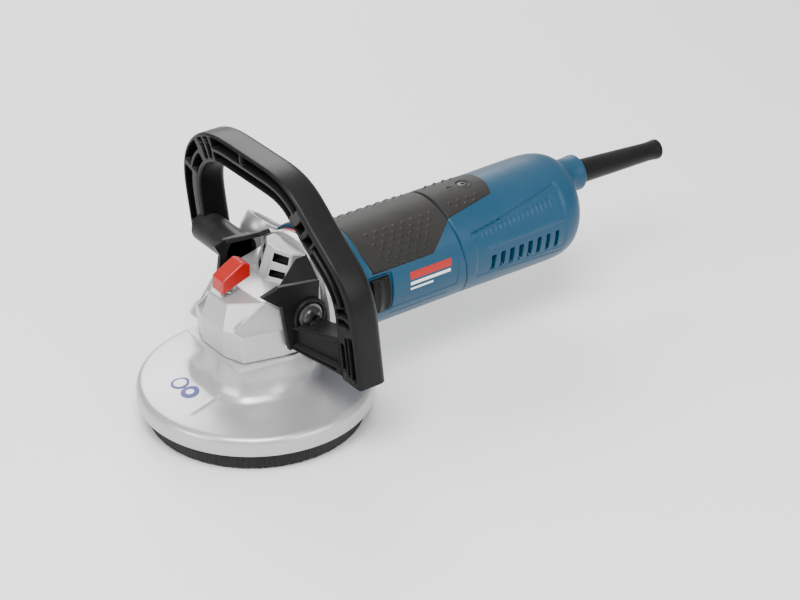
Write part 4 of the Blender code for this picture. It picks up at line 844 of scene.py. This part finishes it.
class GRINDER_OT_gear_head(bpy.types.Operator):
    """Faceted casting with a vented prow, a rear rim whose radius swells at the screws, and side creases."""
    bl_idname = "grinder.gear_head"
    bl_label = "Gear head"

    def execute(self, context):
        points, faces, painted_shade_faces = head_mesh()
        head = piece("head_casting", points, faces, "silver", "tool_body", ("gear_housing",), "cast_silver", 18)
        # black on the vents' walls and floors is painted shade, for the darkness inside the vents
        head.data.materials.append(looks()["black"])
        head.data.polygons.foreach_set("material_index", [1 if k in set(painted_shade_faces) else 0 for k in range(len(faces))])
        bevelled(head, sizes().edge, 3, 14)

        angles = np.linspace(0, 360, 240, endpoint=False)
        swell = 4.4 * nearness(angles, (42, 138, 222, 318), 8.5, 360)
        rows = [(24.0, 34.8, 0.0), (24.0, 28.6, 0.0), (36.0, 28.6, 0.45), (39.4, 29.2, 0.85), (41.0, 30.4, 1),
                (41.2, 34.4, 1), (40.8, 34.8, 1)]
        grid = [around(np.full_like(angles, x), angles, radius + swell * share) for radius, x, share in rows]
        piece("head_rim", np.array(grid), grid_faces(len(rows), len(angles), wrap_rows=True), "silver",
              "tool_body", ("gear_housing",), "cast_silver", 32)

        parts = []
        for up, reach in ((0.0, 1.0), (1.0, 0.92), (2.0, 0.84)):
            for side in (-1, 1):
                start = np.array([-28.6 + 0.8 * up, 20.9 - 0.9 * up, AXIS + 1.1 + 1.2 * up])
                stop = np.array([-9.4 + 0.6 * up, 26.9 - 1.8 * up, AXIS + 17.9 - 0.2 * up])
                stop = start + (stop - start) * reach
                run = (stop - start) / np.linalg.norm(stop - start)
                out_way = np.array([-0.45, 0.72, 0.53])
                wide = np.cross(run, out_way)
                wide = wide / np.linalg.norm(wide)
                t = np.linspace(0, 1, 24)[:, None, None]
                a = np.linspace(0, 2 * np.pi, 10, endpoint=False)[None, :, None]
                size = 0.62 * np.sqrt(np.clip(1 - (2 * t - 1) ** 6, 0.02, 1))
                ring = start + t * (stop - start) + size * (np.cos(a) * wide + 0.7 * np.sin(a) * out_way)
                ring[..., 1] *= side
                parts.append((ring.reshape(-1, 3) * MM, tube_faces(24, 10)))
        piece("head_creases", *join(parts), "silver", "tool_body", ("gear_housing",), "cast_silver", 50)
        return {"FINISHED"}


# ---- hood, port and brush ---------------------------------------------------
class GRINDER_OT_hood(bpy.types.Operator):
    """Cast hood: radius over height turned about the spindle, with a pedestal that follows the head's corners."""
    bl_idname = "grinder.hood"
    bl_label = "Dust hood"

    def execute(self, context):
        rim = min(HOOD_HIGH.x, -HOOD_LOW.x) / MM
        a = np.linspace(0, 2 * np.pi, 288, endpoint=False)
        rows = [
            (rim - 3.0, 7.6, 0), (rim - 0.6, 7.5, 0), (rim, 8.1, 0), (rim, 15.2, 0), (rim - 0.5, 17.2, 0),
            (rim - 1.7, 18.9, 0), (rim - 3.6, 20.0, 0), (rim - 8.0, 20.6, 0), (56.0, 22.0, 0.0),
            (50.0, 22.6, 0.15), (46.0, 23.2, 0.35),
            (41.5, 24.4, 0.7), (38.0, 27.0, 0.95), (35.6, 31.0, 1), (33.8, 36.0, 1), (32.8, 41.0, 1),
            (32.2, 45.4, 1), (31.4, 46.6, 1), (27.0, 46.7, 0.4), (26.0, 46.0, 0), (26.0, 22.0, 0),
            (rim - 9, 16.6, 0), (rim - 3.2, 15.0, 0),
        ]
        table = np.array(rows)
        s = np.linspace(0, len(rows) - 1, 150)
        radius, height, pull = (eased(np.interp(s, range(len(rows)), table[:, k]), 2) for k in range(3))
        corners = nearness(a, np.radians((134, 226)), 0.22, 2 * np.pi)
        side = 1.8 * corners - 3.2 * nearness(a, (np.pi,), 0.28, 2 * np.pi)
        full = radius[:, None] + pull[:, None] * side[None]
        x, y = full * np.cos(a), full * np.sin(a)
        z = np.repeat(height[:, None], len(a), 1)
        crease = bead(x, y, (-27, -12), (-58, -16.5), 1.5)
        on_top = band(height, 19.5, 26.0, 1.0)[:, None] * (radius < rim - 4)[:, None] * (s[:, None] < 17)
        z = z + 0.55 * crease * on_top
        points = np.stack([x, y, z], -1) * MM
        piece("hood_bell", points, grid_faces(len(s), len(a), wrap_rows=True), "silver", "tool_body",
              ("dust_hood",), "cast_silver", 30)
        lean = math.radians(PORT_LEAN)
        way = np.array([math.sin(lean), 0, math.cos(lean)])
        port_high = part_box("dust_port")[1]
        top = np.array([port_high.x / MM - 16.6 * math.cos(lean), middle("dust_port").y / MM,
                        port_high.z / MM - 16.6 * math.sin(lean)])
        foot = top - way * ((top[2] - 24.5) / way[2])
        length = float(np.linalg.norm(top - foot))
        socket = [(13.4, 1.0), (18.9, 1.0), (18.4, 7.0), (17.8, 9.5), (17.4, 10.0), (13.4, 10.0)]
        wall = [(13.2, 4), (16.0, 4), (16.0, length - 12), (16.6, length - 10.4), (16.6, length - 1.2),
                (16.2, length - 0.2), (14.0, length - 0.2), (13.4, length - 1.2)]
        for name, profile, stands_for in (("hood_socket", socket, "dust_hood"), ("port_tube", wall, "dust_port")):
            piece(name, *revolve(profile, foot * MM, way, 72), "silver", "tool_body", (stands_for,),
                  "cast_silver", 30)
        turn = np.linspace(0, 2 * np.pi, 40, endpoint=False)
        outer_rows = np.flatnonzero((s > 5) & (s < 16))
        for k, (cx, cy) in enumerate(((-47.0, 15.6), (-47.6, 2.8))):
            inside = "white" if k == 0 else "sticker"
            marks = (("edge", 6.0, 0.30, "sticker"), ("face", 4.2, 0.36, inside), ("mark", 2.6, 0.42, "white"))
            for name, size, lift, look in marks[:2 + k]:
                sheet = []
                for share, rise in ((0.02, lift), (0.5, lift), (1.0, lift), (1.0, -0.5), (0.02, -0.5)):
                    px, py = cx + share * size * np.cos(turn), cy + share * size * np.sin(turn)
                    taper = np.interp(np.arctan2(py, px) % (2 * np.pi), a, side)
                    local = radius[None, outer_rows] + pull[None, outer_rows] * taper[:, None]
                    level = np.array([np.interp(-reach, -row, height[outer_rows])
                                      for reach, row in zip(np.hypot(px, py), local)])
                    sheet.append(np.stack([px, py, level + rise], -1))
                piece(f"sticker_{name}_{k + 1}", np.array(sheet) * MM, tube_faces(len(sheet), 40), look,
                      "tool_body", (), None, 30)
        return {"FINISHED"}


class GRINDER_OT_brush(bpy.types.Operator):
    """Brush ring: radius and lower edge ripple with cos(tufts * a) and fray with three slower sines."""
    bl_idname = "grinder.brush"
    bl_label = "Brush"

    def execute(self, context):
        step = sizes().bristle_step / MM
        inner, outer = 65.6, 70.4
        tufts = int(2 * math.pi * outer / step)
        a = np.linspace(0, 2 * np.pi, tufts * 6, endpoint=False)
        wave = np.cos(a * tufts)
        fray = 0.35 * np.sin(a * 37.0 + 1.3) + 0.3 * np.sin(a * 83.0) + 0.25 * np.sin(a * 131.0 + 0.7)
        low, high = RING_LOW.z / MM, RING_HIGH.z / MM
        rows = []
        trim = 1.1                             # mean height of the tufts' ends above the lowest one
        for share, radius in ((0.0, inner), (1.0, inner), (1.0, outer - 0.4), (0.8, outer - 0.3),
                              (0.5, outer - 0.15), (0.2, outer), (0.0, outer)):
            outside = radius > inner + 1
            z = low + trim + (high - low - trim) * share + (share == 0) * (0.55 * fray + 0.4 * wave)
            reach = radius + (0.26 if outside else 0.2) * wave + (1 - share) * 0.25 * fray - 0.35 * outside
            rows.append(np.stack([reach * np.cos(a), reach * np.sin(a), np.maximum(z, low)], -1))
        piece("brush_bristles", np.array(rows) * MM, grid_faces(len(rows), len(a), wrap_rows=True), "bristle",
              "brush", ("brush_ring",), "bristles", 60)
        return {"FINISHED"}


# ---- label, switch, screws, ring, button and sleeve -------------------------
def draped(x0, x1, rise0, rise1, radius, lift, columns=24, rows=10):
    """A thin closed strip on the body between two distances along and around it, in millimetres."""
    u, v = np.meshgrid(np.linspace(x0, x1, columns), np.linspace(rise0, rise1, rows), indexing="ij")
    angle = np.degrees(v / R)
    return slab(*(around(u, angle, np.full_like(u, radius + rise)) for rise in (lift, -0.6)))


def scaled_rings(shape, count, rows, factor):
    """Scale some rings of a turned (points, faces) about their own centres."""
    points = shape[0].reshape(-1, count, 3)
    for row in rows:
        centre = points[row].mean(0)
        points[row] = centre + (points[row] - centre) * factor[:, None]
    return points.reshape(-1, 3), shape[1]


def screw_head(place, direction, radius, height, count=48):
    """A pan head: a dome profile turned round, its centre sunk in a six-lobed socket."""
    prof = [(0.0001, -1.5), (radius, -1.5), (radius, height * 0.45), (radius * 0.88, height * 0.8),
            (radius * 0.66, height), (radius * 0.5, height), (radius * 0.5, height - 1.3), (0.0001, height - 1.3)]
    lobes = 0.93 + 0.07 * np.cos(6 * np.linspace(0, 2 * np.pi, count, endpoint=False))
    return scaled_rings(revolve(prof, place, direction, count), count, (5, 6), lobes)


class GRINDER_OT_small_parts(bpy.types.Operator):
    """Label bars, ribbed switch, screws, bolts, air ring, lock button and cable sleeve."""
    bl_idname = "grinder.small_parts"
    bl_label = "Small parts"

    def execute(self, context):
        for name, x1, r0, r1, look in (("wide", 130.0, 3.4, 8.8, "red"), ("thin", 129.0, -0.4, 1.7, "white"),
                                       ("short", 115.0, -4.0, -2.6, "white")):
            piece(f"label_bar_{name}", *draped(97.0, x1, r0, r1, R - 0.5, 0.14), look, "tool_body", (), None, 40)

        u, v = unit_grid(90, 80)
        long_way, wide = 15.6, 25.0            # the switch along and around the body
        rise = (v - 0.5) * wide
        x = 66.2 + u * long_way + 1.2 * (rise / 12.5) ** 2 * (0.5 - u)
        edge = np.minimum(np.minimum(u, 1 - u) * long_way, np.minimum(v, 1 - v) * wide)
        ribs = 0.55 * np.cos(u * long_way * np.pi / 5.2) * band(u, 0.3, 0.9, 0.1)
        r = np.minimum(R - 0.7 + 1.9 * smooth_step(edge / 1.3) ** 0.6 - ribs, R + 1.75)
        turn = np.degrees(rise / R)
        cap = slab(around(x, turn, r), around(x, turn, np.full_like(x, R - 1.4)))
        piece("switch_cap", *cap, "black", "switch", ("slide_switch",), "black_plastic", 45)

        for k in range(4):
            name = f"head_screw_{k + 1}"
            centre = middle(name)
            place = (30.8 * MM, centre.y, centre.z)
            piece(f"{name}_head", *screw_head(place, (-1, 0, 0), 3.6, 2.4), "steel", "tool_body", (name,),
                  "dark_steel", 30)
        place = around(np.array([COVER_SCREW_X]), np.array([90.0]), np.array([R + 0.05]))[0]
        piece("cover_screw_head", *screw_head(place, (0, 0, 1), 3.3, 0.55), "dark_steel", "tool_body",
              ("cover_screw_top",), "dark_steel", 30)
        for side, name in ((-1, "left"), (1, "right")):
            prof = [(0.0001, 34.0), (3.7, 34.0), (3.7, 41.6), (6.8, 41.6), (6.8, 43.4), (6.4, 44.6), (5.4, 45.6),
                    (4.2, 46.2), (3.2, 46.4), (2.9, 46.2), (2.9, 43.6), (0.0001, 43.6)]
            turn = np.linspace(0, 2 * np.pi, 60, endpoint=False)
            hexed = np.cos(np.pi / 6) / np.cos((turn + np.pi / 6) % (np.pi / 3) - np.pi / 6)
            shape = scaled_rings(revolve(prof, (BOLT.x, 0, BOLT.z), (0, side, 0), 60), 60, (9, 10), hexed)
            piece(f"bolt_head_{name}", *shape, "dark_steel", "tool_body", (f"handle_bolt_{name}",),
                  "dark_steel", 35)

        profile = [(37.9, 35.15), (41.1, 35.15), (41.15, 35.6), (41.15, 37.9), (40.9, 38.4), (37.9, 38.4)]
        angles = np.linspace(0, 360, 160, endpoint=False)
        ring = [around(np.full_like(angles, px), angles, np.full_like(angles, pr)) for pr, px in profile]
        piece("air_ring_band", np.array(ring), grid_faces(len(ring), 160, wrap_rows=True), "red", "tool_body",
              ("air_ring",), "red_plastic", 30)

        z = AXIS
        side_view = [(-26, z + 20.5), (-5, z + 27.4), (-5, z + 36.0), (-10, z + 38.2), (-25.2, z + 30.0)]
        cap = piece("button_cap", *prism_y(side_view, -6.4, 6.4), "red", "lock_button", ("spindle_lock_button",),
                    "red_plastic", 30)
        bevelled(cap, 0.0011, 3)

        way = np.array([1.0, 0, -0.052])
        way = way / np.linalg.norm(way)
        t = np.linspace(0, 1, 200)
        along = t * 86.0
        outer = eased(np.interp(along, [0, 4.6, 5.2, 10, 18, 50, 76, 80, 84.5, 86],
                                [10.2, 10.2, 8.8, 8.6, 8.3, 7.4, 6.6, 6.7, 7.2, 7.0]), 2)
        prof = np.concatenate([np.stack([outer, along], -1), [[4.4, 86.0], [4.2, 85.0], [4.2, 1.0]]])
        start = np.array([252.0, 0.0, AXIS + 15.7]) * MM
        piece("sleeve_skin", *revolve(prof, start, way, 72), "black", "tool_body", ("cable_sleeve",),
              "black_plastic", 45)
        return {"FINISHED"}


# ---- finishes of the parts kept from the frame --------------------------------
NODE_LOOKS = {
    "silver": ("gear_housing", "bearing_flange", "dust_hood", "dust_port", "brush_bridge"),
    "blue": ("motor_housing", "label_plate", "rear_cover"),
    "grip": ("grip_pad_front", "grip_pad_rear"),
    "black": ("front_handle", "slide_switch", "cable_sleeve", "cable_clamp", "switch_rod", "switch_unit", "fan",
              "brush_holder_left", "brush_holder_right", "carbon_brush_left", "carbon_brush_right"),
    "red": ("air_ring", "spindle_lock_button"),
    "steel": ("spindle", "bearing_seat", "lock_pin", "lock_spring",
              "spindle_bearing_low", "spindle_bearing_top", "motor_bearing_front", "motor_bearing_rear",
              "wave_spring", "armature_shaft"),
    "dark_steel": ("bolt_washer_left", "bolt_washer_right", "handle_bolt_left", "handle_bolt_right",
                   "head_screw_1", "head_screw_2", "head_screw_3", "head_screw_4", "cover_screw_top",
                   "cover_screw_bottom", "crown_gear", "drive_pinion", "inner_flange", "lock_nut", "brush_holder"),
    "laminations": ("armature_core", "stator_core"),
    "copper": ("field_coil_left", "field_coil_right"),
    "brass": ("commutator",),
    "bristle": ("brush_ring",),
    "wheel": ("cup_wheel",),
    "board": ("electronics",),
}


class GRINDER_OT_node_finishes(bpy.types.Operator):
    """Procedural finishes on the parts kept from the frame."""
    bl_idname = "grinder.node_finishes"
    bl_label = "Finishes of kept parts"

    def execute(self, context):
        table = looks()
        for look, names in NODE_LOOKS.items():
            for name in names:
                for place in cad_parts[name].material_slots:
                    place.material = table[look]
        return {"FINISHED"}


# ---- stage ------------------------------------------------------------------
def lamp(name, where, aim, size, power):
    """A soft square light that looks at a point."""
    data = bpy.data.lights.new(name, "AREA")
    data.energy = power
    data.shape = "SQUARE"
    data.size = size
    obj = bpy.data.objects.new(name, data)
    bpy.context.scene.collection.objects.link(obj)
    obj.location = where
    obj.rotation_euler = (Vector(aim) - Vector(where)).to_track_quat("-Z", "Y").to_euler()


class GRINDER_OT_stage(bpy.types.Operator):
    """Pale floor, soft studio lights, even surroundings and the camera."""
    bl_idname = "grinder.stage"
    bl_label = "Stage"

    def execute(self, context):
        scene = context.scene
        floor_z = START_BOX[0][2]
        side = 6.0
        u, v = np.meshgrid(np.linspace(-side, side, 3), np.linspace(-side, side, 3), indexing="ij")
        mesh = bpy.data.meshes.new("floor")
        mesh.from_pydata(np.stack([u, v, np.full_like(u, floor_z)], -1).reshape(-1, 3).tolist(), [],
                         [tuple(f)[::-1] for f in grid_faces(3, 3, wrap_columns=False).tolist()])
        mesh.update()
        floor = bpy.data.objects.new("floor", mesh)
        scene.collection.objects.link(floor)
        mesh.materials.append(finish("pale_floor", (0.86, 0.86, 0.86), 0.6, patch=0.01, speckle=0.01, bump=0.01))
        if sum(p.normal.z for p in mesh.polygons) < 0:
            mesh.flip_normals()
        world = bpy.data.worlds.new("studio")
        world.use_nodes = True
        world.node_tree.nodes["Background"].inputs["Color"].default_value = (1, 1, 1, 1)
        world.node_tree.nodes["Background"].inputs["Strength"].default_value = 0.62
        scene.world = world
        aim = (0.08, 0.0, 0.07)
        lamp("key", (-0.5, -0.6, 1.5), aim, 0.9, 42.0)
        lamp("left", (0.5, -1.6, 0.9), aim, 1.0, 16.0)
        lamp("front", (-1.6, 0.1, 0.8), aim, 0.8, 14.0)
        lamp("back", (0.6, 1.3, 1.0), aim, 1.0, 22.0)
        back = Vector((-0.5123, -0.6951, 0.5044))
        right = Vector((0.8050, -0.5933, 0.0))
        up = back.cross(right)
        data = bpy.data.cameras.new("view")
        data.lens = 103.7
        data.sensor_width = 36.0
        camera = bpy.data.objects.new("view", data)
        scene.collection.objects.link(camera)
        distance, beside, above = 1.488, 0.0923, 0.0698
        camera.location = back * distance + right * beside + up * above + Vector((0, 0, floor_z))
        turn = Matrix((right, up, back)).transposed()
        camera.rotation_euler = turn.to_euler()
        scene.camera = camera
        return {"FINISHED"}


OPERATORS = (
    GRINDER_OT_housing,
    GRINDER_OT_cover,
    GRINDER_OT_grips,
    GRINDER_OT_handle,
    GRINDER_OT_gear_head,
    GRINDER_OT_hood,
    GRINDER_OT_brush,
    GRINDER_OT_small_parts,
    GRINDER_OT_node_finishes,
    GRINDER_OT_stage,
)


class GRINDER_PT_panel(bpy.types.Panel):
    """Colours, sizes and pieces of the grinder."""
    bl_idname = "GRINDER_PT_panel"
    bl_label = "Surface grinder"
    bl_space_type = "VIEW_3D"
    bl_region_type = "UI"
    bl_category = "Grinder"

    def draw(self, context):
        for settings in (context.scene.grinder_finish, context.scene.grinder_sizes):
            for key in settings.__annotations__:
                self.layout.prop(settings, key)
        for operator in OPERATORS:
            self.layout.operator(operator.bl_idname)


CLASSES = (GRINDER_PG_finish, GRINDER_PG_sizes, *OPERATORS, GRINDER_PT_panel)


def register():
    """Register the classes and attach the settings to the scene."""
    for cls in CLASSES:
        bpy.utils.register_class(cls)
    bpy.types.Scene.grinder_finish = bpy.props.PointerProperty(type=GRINDER_PG_finish)
    bpy.types.Scene.grinder_sizes = bpy.props.PointerProperty(type=GRINDER_PG_sizes)


def unregister():
    """Take the settings and the classes away again."""
    del bpy.types.Scene.grinder_sizes
    del bpy.types.Scene.grinder_finish
    for cls in reversed(CLASSES):
        bpy.utils.unregister_class(cls)


def main():
    """Register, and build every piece."""
    register()
    for operator in OPERATORS:
        getattr(bpy.ops.grinder, operator.bl_idname.split(".")[1])()


if __name__ == "__main__":
    main()
